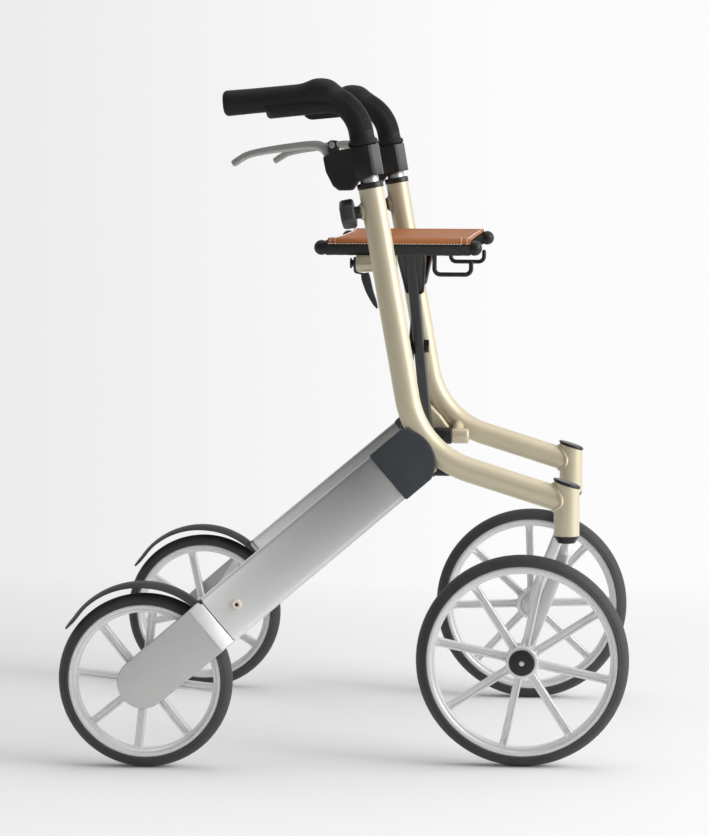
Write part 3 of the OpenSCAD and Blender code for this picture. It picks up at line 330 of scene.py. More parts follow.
def weave_finish(name, base):
    """Woven black fabric."""
    material, nodes, links, shader, where = new_material(name)
    waves = []
    for direction in ("X", "Z"):
        wave = nodes.new("ShaderNodeTexWave")
        wave.bands_direction = direction
        wave.inputs["Scale"].default_value = 420.0
        wave.inputs["Distortion"].default_value = 0.6
        links.new(where, wave.inputs["Vector"])
        waves.append(wave.outputs["Fac"])
    both = sums(nodes, links, "MAXIMUM", *waves)
    links.new(tint(nodes, links, both, shade(base, 0.7), shade(base, 1.4)), shader.inputs["Base Color"])
    links.new(bump(nodes, links, both, 0.5, 0.0002), shader.inputs["Normal"])
    shader.inputs["Roughness"].default_value = 0.75
    return material


def tyre_finish(name, base):
    """Matt tyre rubber, paler where it is worn and dusty."""
    material, nodes, links, shader, where = new_material(name)
    slow = noise(nodes, links, where, 30.0, 6.0, 0.6)
    fine = noise(nodes, links, where, 1800.0, 3.0)
    links.new(tint(nodes, links, spread(nodes, links, slow, 0.0, 1.0, 0.35, 0.75), shade(base, 0.85),
                   shade(base, 1.35)), shader.inputs["Base Color"])
    links.new(spread(nodes, links, slow, 0.62, 0.80), shader.inputs["Roughness"])
    links.new(bump(nodes, links, fine, 0.4, 0.0002), shader.inputs["Normal"])
    shader.inputs["Sheen Weight"].default_value = 0.1
    return material


FINISHES = {}


def make_finishes(colours):
    """All finishes of the rollator, by the record's slot or by their own name."""
    FINISHES.update({
        "champagne": finish("champagne_paint", colours.champagne, 0.42, 1500.0, 0.00003, 0.02, 0.32, 0.06,
                            gloss=0.02),
        "silver_paint": finish("satin_silver", colours.silver, 0.40, 1300.0, 0.00004, 0.02, 0.70, gloss=0.015),
        "beam_silver": beam_finish("brushed_silver_with_painted_shade", colours.beam),
        "rim_silver": finish("rim_lacquer", colours.rim, 0.34, 0.0, 0.0, 0.01, 0.45, patch=15.0, gloss=0.01),
        "lever_metal": finish("cast_lever", colours.lever, 0.42, 0.0, 0.0, 0.03, 0.7, gloss=0.02),
        "steel": finish("turned_steel", colours.steel, 0.28, 1600.0, 0.00003, 0.08, 1.0),
        "charcoal": finish("charcoal_plastic", colours.charcoal, 0.48, 1400.0, 0.00012, 0.10, specular=0.35),
        "guard": finish("guard_plastic", shade(colours.charcoal, 0.5), 0.50, 1400.0, 0.00006, 0.06, specular=0.3),
        "black_plastic": finish("black_plastic", colours.black_plastic, 0.36, 1500.0, 0.00006, 0.15, specular=0.4),
        "knob": finish("knob_plastic", colours.knob, 0.34, 1500.0, 0.00006, 0.12, specular=0.5),
        "arm_black": finish("black_paint", colours.arm_black, 0.46, 1000.0, 0.00006, 0.12, specular=0.35),
        "rubber": finish("grip_rubber", colours.rubber, 0.60, 1100.0, 0.00018, 0.15, specular=0.2),
        "tyre": tyre_finish("tyre_rubber", colours.tyre),
        "leather": leather_finish("tan_leather", colours.leather),
        "thread": finish("white_thread", colours.thread, 0.70, 2500.0, 0.00010, 0.08),
        "sleeve": weave_finish("black_sleeve", colours.sleeve),
        "cream": finish("cream_plastic", colours.cream, 0.45, 1500.0, 0.00004, 0.06),
    })


# Shapes


def on_upright(ahead, aside, height):
    """A point given in the frame of the leaning upright."""
    return CORNER + AHEAD * ahead + ACROSS * aside + UP * height


def on_beam(along, aside, over):
    """A point of the beam's frame before its splay; aside is the distance from the middle of the part."""
    return Vector((REAR_AXLE.x, 0.0, REAR_AXLE.z)) + ALONG * along + ACROSS * aside + OVER * over


def on_splay(along, aside, over):
    """A point of the splayed beam's frame."""
    cosine, sine = math.cos(BEAM_SPLAY), math.sin(BEAM_SPLAY)
    forward = ALONG * cosine - ACROSS * sine
    outward = ALONG * sine + ACROSS * cosine
    return on_beam(BEAM_L, CORNER.y, 0.0) + forward * (along - BEAM_L) + outward * aside + OVER * over


def on_cover(along, over, aside):
    """A point of the beam cover's frame, from the cover's edge on the beam."""
    return on_splay(COVER_START + along, aside, over)


def rounded(corners, radius, steps=5):
    """A closed outline with rounded corners; a corner may carry its own radius."""
    outline = []
    count = len(corners)
    for i, corner in enumerate(corners):
        here = Vector(corner[:2])
        before = Vector(corners[i - 1][:2]) - here
        after = Vector(corners[(i + 1) % count][:2]) - here
        own = corner[2] if len(corner) > 2 else radius
        half = before.angle(after) / 2
        if own <= 0.0 or half > math.radians(88.0):
            outline.append(tuple(here))
            continue
        reach = min(own / math.tan(half), 0.49 * before.length, 0.49 * after.length)
        own = reach * math.tan(half)
        middle = here + (before.normalized() + after.normalized()).normalized() * (own / math.sin(half))
        start = here + before.normalized() * reach - middle
        end = here + after.normalized() * reach - middle
        swing = start.angle_signed(end)
        for k in range(steps + 1):
            angle = -swing * k / steps
            outline.append((middle.x + start.x * math.cos(angle) - start.y * math.sin(angle),
                            middle.y + start.x * math.sin(angle) + start.y * math.cos(angle)))
    return outline


def link(start_r, run, end_r, steps=28):
    """Outline of a flat link from a round eye at the origin to another at run ahead."""
    opening = math.acos((start_r - end_r) / run)
    points = []
    for k in range(steps + 1):
        angle = opening + (2 * math.pi - 2 * opening) * k / steps
        points.append((start_r * math.cos(angle), start_r * math.sin(angle)))
    for k in range(steps + 1):
        angle = -opening + 2 * opening * k / steps
        points.append((run + end_r * math.cos(angle), end_r * math.sin(angle)))
    return points


def add(target, part):
    """Adds one mesh in work to another and drops it."""
    mesh = bpy.data.meshes.new("work")
    bmesh.ops.recalc_face_normals(part, faces=part.faces)
    part.to_mesh(mesh)
    part.free()
    target.from_mesh(mesh)
    bpy.data.meshes.remove(mesh)


def round_edges(part, width, segments=3, least=30.0):
    """Rounds the edges of a mesh in work that are sharper than an angle."""
    bmesh.ops.recalc_face_normals(part, faces=part.faces)
    sharp = [edge for edge in part.edges
             if len(edge.link_faces) == 2 and edge.calc_face_angle() > math.radians(least)]
    bmesh.ops.bevel(part, geom=sharp, offset=width, segments=segments, profile=0.5, affect="EDGES",
                    clamp_overlap=True)


def loft(target, rings):
    """Skin over rings of points, closed at both ends."""
    part = bmesh.new()
    rows = [[part.verts.new(point) for point in ring] for ring in rings]
    count = len(rows[0])
    for low, high in zip(rows, rows[1:]):
        for k in range(count):
            part.faces.new((low[k], low[(k + 1) % count], high[(k + 1) % count], high[k]))
    part.faces.new(list(reversed(rows[0])))
    part.faces.new(rows[-1])
    add(target, part)


def lathe(target, profile, centre, axis=None, steps=96):
    """Turns a closed profile of (radius, distance along the axis) about a line; the axis is across by default."""
    axis = axis or ACROSS
    side = axis.orthogonal().normalized()
    other = axis.cross(side)
    part = bmesh.new()
    rings = []
    for i in range(steps):
        angle = 2 * math.pi * i / steps
        out = side * math.cos(angle) + other * math.sin(angle)
        rings.append([part.verts.new(centre + out * radius + axis * along) for radius, along in profile])
    count = len(profile)
    for i in range(steps):
        here, there = rings[i], rings[(i + 1) % steps]
        for k in range(count):
            part.faces.new((here[k], here[(k + 1) % count], there[(k + 1) % count], there[k]))
    bmesh.ops.remove_doubles(part, verts=part.verts, dist=1e-7)
    bmesh.ops.dissolve_degenerate(part, edges=part.edges, dist=1e-7)
    add(target, part)


def rod(target, start, end, radius, edge=0.001, steps=48):
    """A round bar with rounded ends."""
    run = (end - start).length
    bevel = [(radius - edge + edge * math.sin(k * math.pi / 8), edge - edge * math.cos(k * math.pi / 8))
             for k in range(5)]
    profile = [(0.0, 0.0)] + bevel + [(r, run - along) for r, along in reversed(bevel)] + [(0.0, run)]
    lathe(target, profile, start, (end - start).normalized(), steps)


def prism(target, outline, place, low, high, width=0.0, segments=3, least=30.0):
    """An outline given a thickness by place(u, v, w), with rounded edges."""
    part = bmesh.new()
    bottom = [part.verts.new(place(u, v, low)) for u, v in outline]
    top = [part.verts.new(place(u, v, high)) for u, v in outline]
    part.faces.new(list(reversed(bottom)))
    part.faces.new(top)
    for k in range(len(outline)):
        n = (k + 1) % len(outline)
        part.faces.new((bottom[k], bottom[n], top[n], top[k]))
    if width > 0.0:
        round_edges(part, width, segments, least)
    add(target, part)


def around(count):
    """The angles of one full turn in equal steps."""
    return [2 * math.pi * k / count for k in range(count)]


def circle(centre, first, second, radius, steps=32):
    """A ring of points in the plane of two directions."""
    return [centre + first * (radius * math.cos(angle)) + second * (radius * math.sin(angle))
            for angle in around(steps)]


def spine_rings(spine, origin, halves, across_power, over_power):
    """Rings of a flat bar along a spine of (x, z, half thickness), with softly squared sections."""
    rings = []
    for i, (spot, half) in enumerate(zip(spine, halves)):
        before, after = spine[max(0, i - 1)], spine[min(len(spine) - 1, i + 1)]
        over = Vector((after[0] - before[0], 0.0, after[1] - before[1])).normalized().cross(ACROSS)
        ring = []
        for angle in around(28):
            c, s = math.cos(angle), math.sin(angle)
            ring.append(origin + Vector((spot[0], 0.0, spot[1]))
                        + ACROSS * (math.copysign(abs(c) ** across_power, c) * half)
                        + over * (math.copysign(abs(s) ** over_power, s) * spot[2]))
        rings.append(ring)
    return rings


def socket_screw(target, centre, axis, radius, height, socket_r, depth, steps=36):
    """A round screw head with a hexagonal socket."""
    side = axis.orthogonal().normalized()
    other = axis.cross(side)

    def hexagon(lift):
        ring = []
        for angle in around(steps):
            within = (angle + math.pi / 6) % (math.pi / 3) - math.pi / 6
            reach = socket_r * math.cos(math.pi / 6) / math.cos(within)
            ring.append(centre + axis * lift + side * (reach * math.cos(angle)) + other * (reach * math.sin(angle)))
        return ring

    edge = min(radius, height) * 0.25
    loft(target, [circle(centre, side, other, radius, steps),
                  circle(centre + axis * (height - edge), side, other, radius, steps),
                  circle(centre + axis * (height - edge * 0.3), side, other, radius - edge * 0.3, steps),
                  circle(centre + axis * height, side, other, radius - edge, steps),
                  hexagon(height), hexagon(height - depth)])


def sweep(target, path, radius, steps=40):
    """A round tube along a path in the side's plane, given as (point, direction)."""
    loft(target, [circle(point, ACROSS, heading.cross(ACROSS).normalized(), radius, steps)
                  for point, heading in path])


def smooth_curve(points, steps=10):
    """A smooth run of points through a few, each a tuple of numbers."""
    rows = [Vector(point) for point in points]
    ends = [rows[0] * 2 - rows[1]] + rows + [rows[-1] * 2 - rows[-2]]
    run = []
    for i in range(1, len(ends) - 2):
        a, b, c, d = ends[i - 1:i + 3]
        for k in range(steps):
            t = k / steps
            run.append((b * 2 + (c - a) * t + (a * 2 - b * 5 + c * 4 - d) * t ** 2
                        + (b * 3 - a - c * 3 + d) * t ** 3) / 2)
    run.append(rows[-1])
    return run


def put(name, part, material, body, nodes=(), side="left", sharp=32.0):
    """Puts a piece drawn on the left into the scene, mirrored for the right, and lets it ride on its body."""
    if side == "right":
        for vert in part.verts:
            vert.co.y = -vert.co.y
    bmesh.ops.remove_doubles(part, verts=part.verts, dist=1e-7)
    bmesh.ops.recalc_face_normals(part, faces=part.faces)
    mesh = bpy.data.meshes.new(name)
    part.to_mesh(mesh)
    part.free()
    return put_mesh(name, mesh, material, body, nodes, sharp)


def put_side(side, name, part, finish_name, body, node=None, sharp=32.0):
    """Puts a piece of one side into the scene, with the side before its name, its body's and its node's."""
    nodes = (side + "_" + node,) if node else ()
    return put(side + "_" + name, part, FINISHES[finish_name], side + "_" + body, nodes, side, sharp)


def put_mesh(name, mesh, material, body, nodes=(), sharp=32.0):
    """Puts a finished mesh into the scene and lets it ride on its body."""
    if not mesh.polygons:
        raise RuntimeError("the piece " + name + " has no faces")
    mesh.polygons.foreach_set("use_smooth", [True] * len(mesh.polygons))
    mesh.set_sharp_from_angle(angle=math.radians(sharp))
    mesh.materials.clear()
    mesh.materials.append(material)
    piece = bpy.data.objects.new(name, mesh)
    bpy.context.scene.collection.objects.link(piece)
    if body:
        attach(piece, body)
    if nodes:
        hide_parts(*nodes)
    return piece


# Node trees


def start_tree(name, sockets):
    """A geometry node tree with named inputs."""
    tree = bpy.data.node_groups.new(name, "GeometryNodeTree")
    tree.is_modifier = True
    tree.interface.new_socket("Geometry", in_out="INPUT", socket_type="NodeSocketGeometry")
    for label, kind in sockets:
        tree.interface.new_socket(label, in_out="INPUT", socket_type=kind)
    tree.interface.new_socket("Geometry", in_out="OUTPUT", socket_type="NodeSocketGeometry")
    return tree, tree.nodes.new("NodeGroupInput"), tree.nodes.new("NodeGroupOutput")


def end_tree(tree, instances, given, result):
    """Ends a tree with real copies that carry the material."""
    real = tree.nodes.new("GeometryNodeRealizeInstances")
    paint = tree.nodes.new("GeometryNodeSetMaterial")
    tree.links.new(instances, real.inputs["Geometry"])
    tree.links.new(real.outputs["Geometry"], paint.inputs["Geometry"])
    tree.links.new(given.outputs["Material"], paint.inputs["Material"])
    tree.links.new(paint.outputs["Geometry"], result.inputs["Geometry"])


def ring_tree():
    """Copies of a shape around an axle, for the spokes of a wheel."""
    tree, given, result = start_tree("spoke_ring", [
        ("Copies", "NodeSocketInt"), ("First angle", "NodeSocketFloat"), ("Axle", "NodeSocketVector"),
        ("Material", "NodeSocketMaterial")])
    nodes, links = tree.nodes, tree.links
    points = nodes.new("GeometryNodePoints")
    index = nodes.new("GeometryNodeInputIndex")
    step = sums(nodes, links, "DIVIDE", -2 * math.pi, given.outputs["Copies"])
    angle = sums(nodes, links, "MULTIPLY", index.outputs["Index"], step)
    total = sums(nodes, links, "SUBTRACT", angle, given.outputs["First angle"])
    euler = nodes.new("ShaderNodeCombineXYZ")
    rotation = nodes.new("FunctionNodeEulerToRotation")
    copies = nodes.new("GeometryNodeInstanceOnPoints")
    links.new(given.outputs["Copies"], points.inputs["Count"])
    links.new(given.outputs["Axle"], points.inputs["Position"])
    links.new(total, euler.inputs["Y"])
    links.new(euler.outputs["Vector"], rotation.inputs["Euler"])
    links.new(points.outputs["Points"], copies.inputs["Points"])
    links.new(given.outputs["Geometry"], copies.inputs["Instance"])
    links.new(rotation.outputs["Rotation"], copies.inputs["Rotation"])
    end_tree(tree, copies.outputs["Instances"], given, result)
    return tree


def bead_tree():
    """Beads along lines, for weld beads, stitches and the dots of a grip."""
    tree, given, result = start_tree("beads_on_line", [
        ("Spacing", "NodeSocketFloat"), ("Size", "NodeSocketVector"), ("Detail", "NodeSocketInt"),
        ("Material", "NodeSocketMaterial")])
    nodes, links = tree.nodes, tree.links
    curve = nodes.new("GeometryNodeMeshToCurve")
    even = nodes.new("GeometryNodeResampleCurve")
    even.mode = "LENGTH"
    tangent = nodes.new("GeometryNodeInputTangent")
    align = nodes.new("FunctionNodeAlignRotationToVector")
    align.axis = "X"
    bead = nodes.new("GeometryNodeMeshIcoSphere")
    bead.inputs["Radius"].default_value = 1.0
    copies = nodes.new("GeometryNodeInstanceOnPoints")
    links.new(given.outputs["Geometry"], curve.inputs["Mesh"])
    links.new(curve.outputs["Curve"], even.inputs["Curve"])
    links.new(given.outputs["Spacing"], even.inputs["Length"])
    links.new(given.outputs["Detail"], bead.inputs["Subdivisions"])
    links.new(tangent.outputs["Tangent"], align.inputs["Vector"])
    links.new(even.outputs["Curve"], copies.inputs["Points"])
    links.new(bead.outputs["Mesh"], copies.inputs["Instance"])
    links.new(align.outputs["Rotation"], copies.inputs["Rotation"])
    links.new(given.outputs["Size"], copies.inputs["Scale"])
    end_tree(tree, copies.outputs["Instances"], given, result)
    return tree


def run_tree(tree, mesh, values):
    """Runs a node tree on a mesh and returns the plain mesh that it makes."""
    carrier = bpy.data.objects.new("carrier", mesh)
    bpy.context.scene.collection.objects.link(carrier)
    modifier = carrier.modifiers.new("tree", "NODES")
    modifier.node_group = tree
    for item in tree.interface.items_tree:
        if item.item_type == "SOCKET" and item.in_out == "INPUT" and item.name in values:
            modifier[item.identifier] = values[item.name]
    depsgraph = bpy.context.evaluated_depsgraph_get()
    result = bpy.data.meshes.new_from_object(carrier.evaluated_get(depsgraph))
    carrier.modifiers.remove(modifier)
    bpy.data.objects.remove(carrier)
    if not result.polygons:
        raise RuntimeError("the node tree " + tree.name + " made nothing")
    return result


def lines_mesh(lines, side="left"):
    """Open or closed lines of points as a mesh of edges."""
    mesh = bpy.data.meshes.new("lines")
    verts, edges = [], []
    for points, closed in lines:
        first = len(verts)
        verts += [(p.x, p.y * SIDES[side], p.z) for p in points]
        edges += [(first + k, first + k + 1) for k in range(len(points) - 1)]
        if closed:
            edges.append((first + len(points) - 1, first))
    mesh.from_pydata(verts, edges, [])
    return mesh


def beads(name, lines, spacing, size, material, body, side="left", detail=2):
    """A row of beads along lines, as one piece."""
    mesh = run_tree(bead_tree(), lines_mesh(lines, side),
                    {"Spacing": spacing, "Size": size, "Detail": detail, "Material": material})
    return put_mesh(name, mesh, material, body)


# Operators, one for each group of pieces


class ROLLATOR_OT_camera(bpy.types.Operator):
    """Set the camera at the viewing angle of the photograph"""
    bl_idname = "rollator.camera"
    bl_label = "Camera"

    def execute(self, context):
        camera = bpy.data.objects.new("camera", bpy.data.cameras.new("camera"))
        context.scene.collection.objects.link(camera)
        camera.data.lens = CAMERA_LENS
        camera.data.sensor_width = 36.0
        yaw, pitch, roll = CAMERA_YAW, CAMERA_PITCH, CAMERA_ROLL
        forward = Vector((-math.sin(yaw) * math.cos(pitch), math.cos(yaw) * math.cos(pitch), -math.sin(pitch)))
        right = Vector((math.cos(yaw), math.sin(yaw), 0.0))
        above = right.cross(forward)
        rolled = right * math.cos(roll) + above * math.sin(roll)
        above = above * math.cos(roll) - right * math.sin(roll)
        turned = Matrix((rolled, above, -forward)).transposed().to_4x4()
        camera.matrix_world = Matrix.Translation(CAMERA_AT) @ turned
        context.scene.camera = camera
        return {"FINISHED"}


class ROLLATOR_OT_frame_finishes(bpy.types.Operator):
    """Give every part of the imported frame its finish"""
    bl_idname = "rollator.frame_finishes"
    bl_label = "Frame finishes"

    def execute(self, context):
        make_finishes(context.scene.rollator_colours)
        for entry in frame["record"]["subparts"]:
            node = frame["nodes"][entry["node"]]
            kind = entry["node"].split("_", 1)[-1]
            for place in node.material_slots:
                place.material = FINISHES["arm_black" if kind in DARK_BOLTS else entry["material_slot"]]
            weld = node.modifiers.new("merge", "WELD")
            weld.merge_threshold = 0.00001
        return {"FINISHED"}


class ROLLATOR_OT_tyres(bpy.types.Operator):
    """Turn the four smooth tyres, with a fine line where each meets its rim"""
    bl_idname = "rollator.tyres"
    bl_label = "Tyres"

    def execute(self, context):
        sizes = context.scene.rollator_sizes
        for wheel, axle in WHEELS:
            outer = axle.z
            edge = math.acos((sizes.tyre_section - sizes.tyre_depth) / sizes.tyre_section)
            profile = []
            for k in range(73):
                angle = edge * (2 * k / 72 - 1)
                reach = sizes.tyre_section - sizes.tyre_groove * math.exp(-((abs(angle) - 1.16) / 0.035) ** 2)
                profile.append((outer - sizes.tyre_section + reach * math.cos(angle), reach * math.sin(angle)))
            bead = outer - sizes.tyre_depth - 0.0008
            profile += [(bead, 0.0132), (bead, -0.0132)]
            for side in SIDES:
                part = bmesh.new()
                lathe(part, profile, axle, steps=144)
                put_side(side, wheel + "_tyre_skin", part, "tyre", wheel + "_wheel", wheel + "_tyre", 40.0)
        return {"FINISHED"}


class ROLLATOR_OT_rims(bpy.types.Operator):
    """Make the four rims: a stepped ring, a hub, and a ring of grooved spokes"""
    bl_idname = "rollator.rims"
    bl_label = "Rims and spokes"

    def execute(self, context):
        sizes = context.scene.rollator_sizes
        tree = ring_tree()
        first = {"right_front": sizes.front_spoke_turn, "left_front": sizes.left_spoke_turn,
                 "right_rear": sizes.rear_spoke_turn, "left_rear": sizes.left_rear_turn}
        for wheel, axle in WHEELS:
            seat = axle.z - sizes.tyre_depth
            half = sizes.rim_w / 2
            ring = rounded([(seat - 0.0005, -half), (seat - 0.0005, half), (seat - 0.0054, half),
                            (seat - 0.0064, half - 0.0040), (seat - 0.0100, half - 0.0046),
                            (seat - 0.0100, 0.0046 - half), (seat - 0.0064, 0.0040 - half),
                            (seat - 0.0054, -half)], sizes.rim_round, 4)
            hub = rounded([(0.0131, -HUB_HALF), (0.0190, -HUB_HALF), (0.0190, -0.0105, 0.002),
                           (0.0176, -0.009, 0.002), (0.0176, 0.009, 0.002), (0.0190, 0.0105, 0.002),
                           (0.0190, HUB_HALF), (0.0131, HUB_HALF)], 0.0012, 4)
            for side in SIDES:
                spoke = bmesh.new()
                loft(spoke, self.spoke_rings(sizes, 0.0165, seat - 0.0085))
                shape = bpy.data.meshes.new("spoke")
                spoke.to_mesh(shape)
                spoke.free()
                spokes = run_tree(tree, shape, {"Copies": sizes.spoke_count, "First angle": first[side + "_" + wheel],
                                                "Axle": tuple(axle), "Material": FINISHES["rim_silver"]})
                part = bmesh.new()
                lathe(part, ring, axle, steps=144)
                lathe(part, hub, axle, steps=72)
                part.from_mesh(spokes)
                bpy.data.meshes.remove(spokes)
                put_side(side, wheel + "_spoked_rim", part, "rim_silver", wheel + "_wheel", wheel + "_rim",
                         30.0)
        return {"FINISHED"}

    @staticmethod
    def spoke_rings(sizes, start, end):
        """Rings of one spoke along +X, with a groove on each face, that widens a little at both ends."""
        rings = []
        for k in range(25):
            share = k / 24
            x = start + (end - start) * share
            flare = sizes.spoke_flare * max(0.0, 1 - (end - x) / 0.008) ** 2
            root = 0.0010 * max(0.0, 1 - (x - start) / 0.010) ** 2
            w = sizes.spoke_w / 2 + flare + root
            d = 0.0064 + root
            g = sizes.spoke_w * 0.25
            fade = min(1.0, max(0.0, (end - x - 0.002) / 0.005)) * min(1.0, (x - start) / 0.006)
            dip = sizes.spoke_groove * fade
            c = 0.0017
            half = [(d - dip * deep, g * wide)
                    for deep, wide in ((1.0, 0.0), (1.0, 0.72), (0.9, 0.82), (0.2, 0.97), (0.0, 1.08))]
            for angle in (k * math.pi / 10 for k in range(6)):
                half.append((d - c + c * math.cos(angle), w - c + c * math.sin(angle)))
            half += [(0.0, w)]
            quarter = half + [(-y, z) for y, z in reversed(half[:-1])]
            loop = quarter + [(y, -z) for y, z in reversed(quarter[1:-1])]
            rings.append([Vector((x, y, z)) for y, z in loop])
        return rings


class ROLLATOR_OT_hub_caps(bpy.types.Operator):
    """Make the front hub caps with the small socket screws in their middle"""
    bl_idname = "rollator.hub_caps"
    bl_label = "Hub caps"

    def execute(self, context):
        outer = FRONT_AXLE + ACROSS * HUB_HALF
        for side in SIDES:
            part = bmesh.new()
            lathe(part, rounded([(0.0028, -0.0002, 0.0), (0.0130, -0.0002, 0.0), (0.0130, 0.0001, 0.0),
                                 (0.0152, 0.0001), (0.0152, 0.0026), (0.0140, 0.0042), (0.0100, 0.0049),
                                 (0.0044, 0.0051), (0.0036, 0.0044), (0.0028, 0.0044, 0.0)], 0.0006, 4),
                  outer, steps=72)
            put_side(side, "hub_cap_disc", part, "black_plastic", "front_wheel", "hub_cap")
            part = bmesh.new()
            socket_screw(part, outer + ACROSS * 0.0040, ACROSS, 0.0031, 0.0013, 0.0014, 0.0010)
            put_side(side, "axle_screw", part, "steel", "caster")
        return {"FINISHED"}


class ROLLATOR_OT_mudguards(bpy.types.Operator):
    """Form the arched mudguards, which narrow to the rear"""
    bl_idname = "rollator.mudguards"
    bl_label = "Mudguards"

    def execute(self, context):
        sizes = context.scene.rollator_sizes
        arch, t = 0.034, sizes.guard_t
        start = math.asin(0.031 / 0.112) + math.atan2(ALONG.z, ALONG.x)
        end = math.radians(148.0)
        for side in SIDES:
            rings = []
            for i in range(61):
                share = i / 60
                angle = start + (end - start) * share
                taper = 1.0 - 0.26 * max(0.0, share - 0.35) / 0.65
                tip = math.sqrt(max(0.0, 1.0 - max(0.0, (share - 0.94) / 0.06) ** 2))
                half = max(0.0015, sizes.guard_w / 2 * taper * (0.12 + 0.88 * tip))
                out = Vector((math.cos(angle), 0.0, math.sin(angle)))
                crown = 0.1122 + 0.0044 * math.sin(math.pi * min(1.0, share / 0.9)) ** 0.8
                upper, lower = [], []
                for k in range(17):
                    y = half * (2 * k / 16 - 1)
                    drop = arch - math.sqrt(arch ** 2 - y ** 2)
                    edge = 1.0 - 0.75 * abs(2 * k / 16 - 1) ** 8
                    upper.append(REAR_AXLE + ACROSS * y + out * (crown - drop))
                    lower.append(REAR_AXLE + ACROSS * y + out * (crown - drop - t * edge))
                rings.append(upper + lower[::-1])
            part = bmesh.new()
            loft(part, rings)
            prism(part, rounded([(0.1065, -0.017), (0.1140, -0.017), (0.1140, 0.017), (0.1065, 0.017)], 0.002, 3),
                  lambda u, v, w: on_beam(u, REAR_AXLE.y + v, w), 0.0265, 0.0314, 0.001, 2)
            put_side(side, "mudguard_blade", part, "guard", "frame", "mudguard", 40.0)
        return {"FINISHED"}


class ROLLATOR_OT_beams(bpy.types.Operator):
    """Make the silver beams, their dark covers and the caps of the fork bolts"""
    bl_idname = "rollator.beams"
    bl_label = "Beams and covers"

    def execute(self, context):
        sizes = context.scene.rollator_sizes
        corners = [(-0.017, -0.032, sizes.beam_low_round), (0.017, -0.032, sizes.beam_low_round)]
        corners += [(0.017, over / 1000, 0.0) for over in range(-20, 25, 4)]
        corners += [(0.017, 0.032, sizes.beam_top_round), (-0.017, 0.032, sizes.beam_top_round)]
        corners += [(-0.017, over / 1000, 0.0) for over in range(24, -21, -4)]
        section = [(aside * (1 - sizes.beam_bulge / 0.017 * (over / 0.032) ** 2), over)
                   for aside, over in rounded(corners, 0.005, 8)]
        nose_r, nose_x, nose_rise, high = 0.039, 0.024, 0.003, 0.0335
        bolt_at = 0.137
        low_angle = -math.asin((high + nose_rise) / nose_r)
        high_angle = math.asin((high - nose_rise) / nose_r)
        angles = [low_angle + (high_angle - low_angle) * k / 40 for k in range(41)]
        nose = [(nose_x + nose_r * math.cos(angle), nose_rise + nose_r * math.sin(angle)) for angle in angles]
        outline = [(0.0, -high)] + nose + [(0.0, high)]
        edge = [(0.0, -high), (0.010, -high), (0.010, high), (0.0, high)]
        socket = [(0.008, -0.031), (0.052, -0.031), (0.054, 0.0), (0.052, 0.031), (0.008, 0.031)]
        cosine, sine = math.cos(BEAM_SPLAY), math.sin(BEAM_SPLAY)
        for side in SIDES:
            rings = []
            for share in (0.0, 0.01, 0.35, 0.7, 1.0):
                ring = []
                for aside, over in section:
                    foot = BEAM_L + (BEAM_SEAM + 0.0004 - BEAM_L - aside * sine) / cosine
                    ring.append(on_splay(foot + (COVER_START - 0.0003 - foot) * share, aside, over))
                rings.append(ring)
            part = bmesh.new()
            loft(part, rings)
            put_side(side, "beam_tube", part, "beam_silver", "frame", "beam", 30.0)
            part = bmesh.new()
            prism(part, outline, on_cover, 0.0, 0.0185, sizes.cover_round, 4)
            prism(part, edge, on_cover, -0.0185, 0.0030, sizes.cover_round, 4)
            put_side(side, "cover_shell", part, "charcoal", "frame", "beam_cover", 35.0)
            part = bmesh.new()
            prism(part, socket, on_cover, -0.0170, -0.0002, 0.0040, 4)
            put_side(side, "beam_socket", part, "champagne", "frame", sharp=35.0)
            part = bmesh.new()
            bolt = on_splay(bolt_at, 0.0168, 0.0)
            outward = (on_splay(bolt_at, 1.0, 0.0) - on_splay(bolt_at, 0.0, 0.0)).normalized()
            lathe(part, rounded([(0.0021, 0.0), (0.0062, 0.0), (0.0062, 0.0022), (0.0050, 0.0032), (0.0021, 0.0032)],
                                0.0007, 4), bolt, outward, 48)
            put_side(side, "bolt_cap", part, "cream", "frame")
            part = bmesh.new()
            socket_screw(part, bolt, outward, 0.0022, 0.0028, 0.0012, 0.0012)
            put_side(side, "bolt_middle", part, "arm_black", "frame")
        return {"FINISHED"}


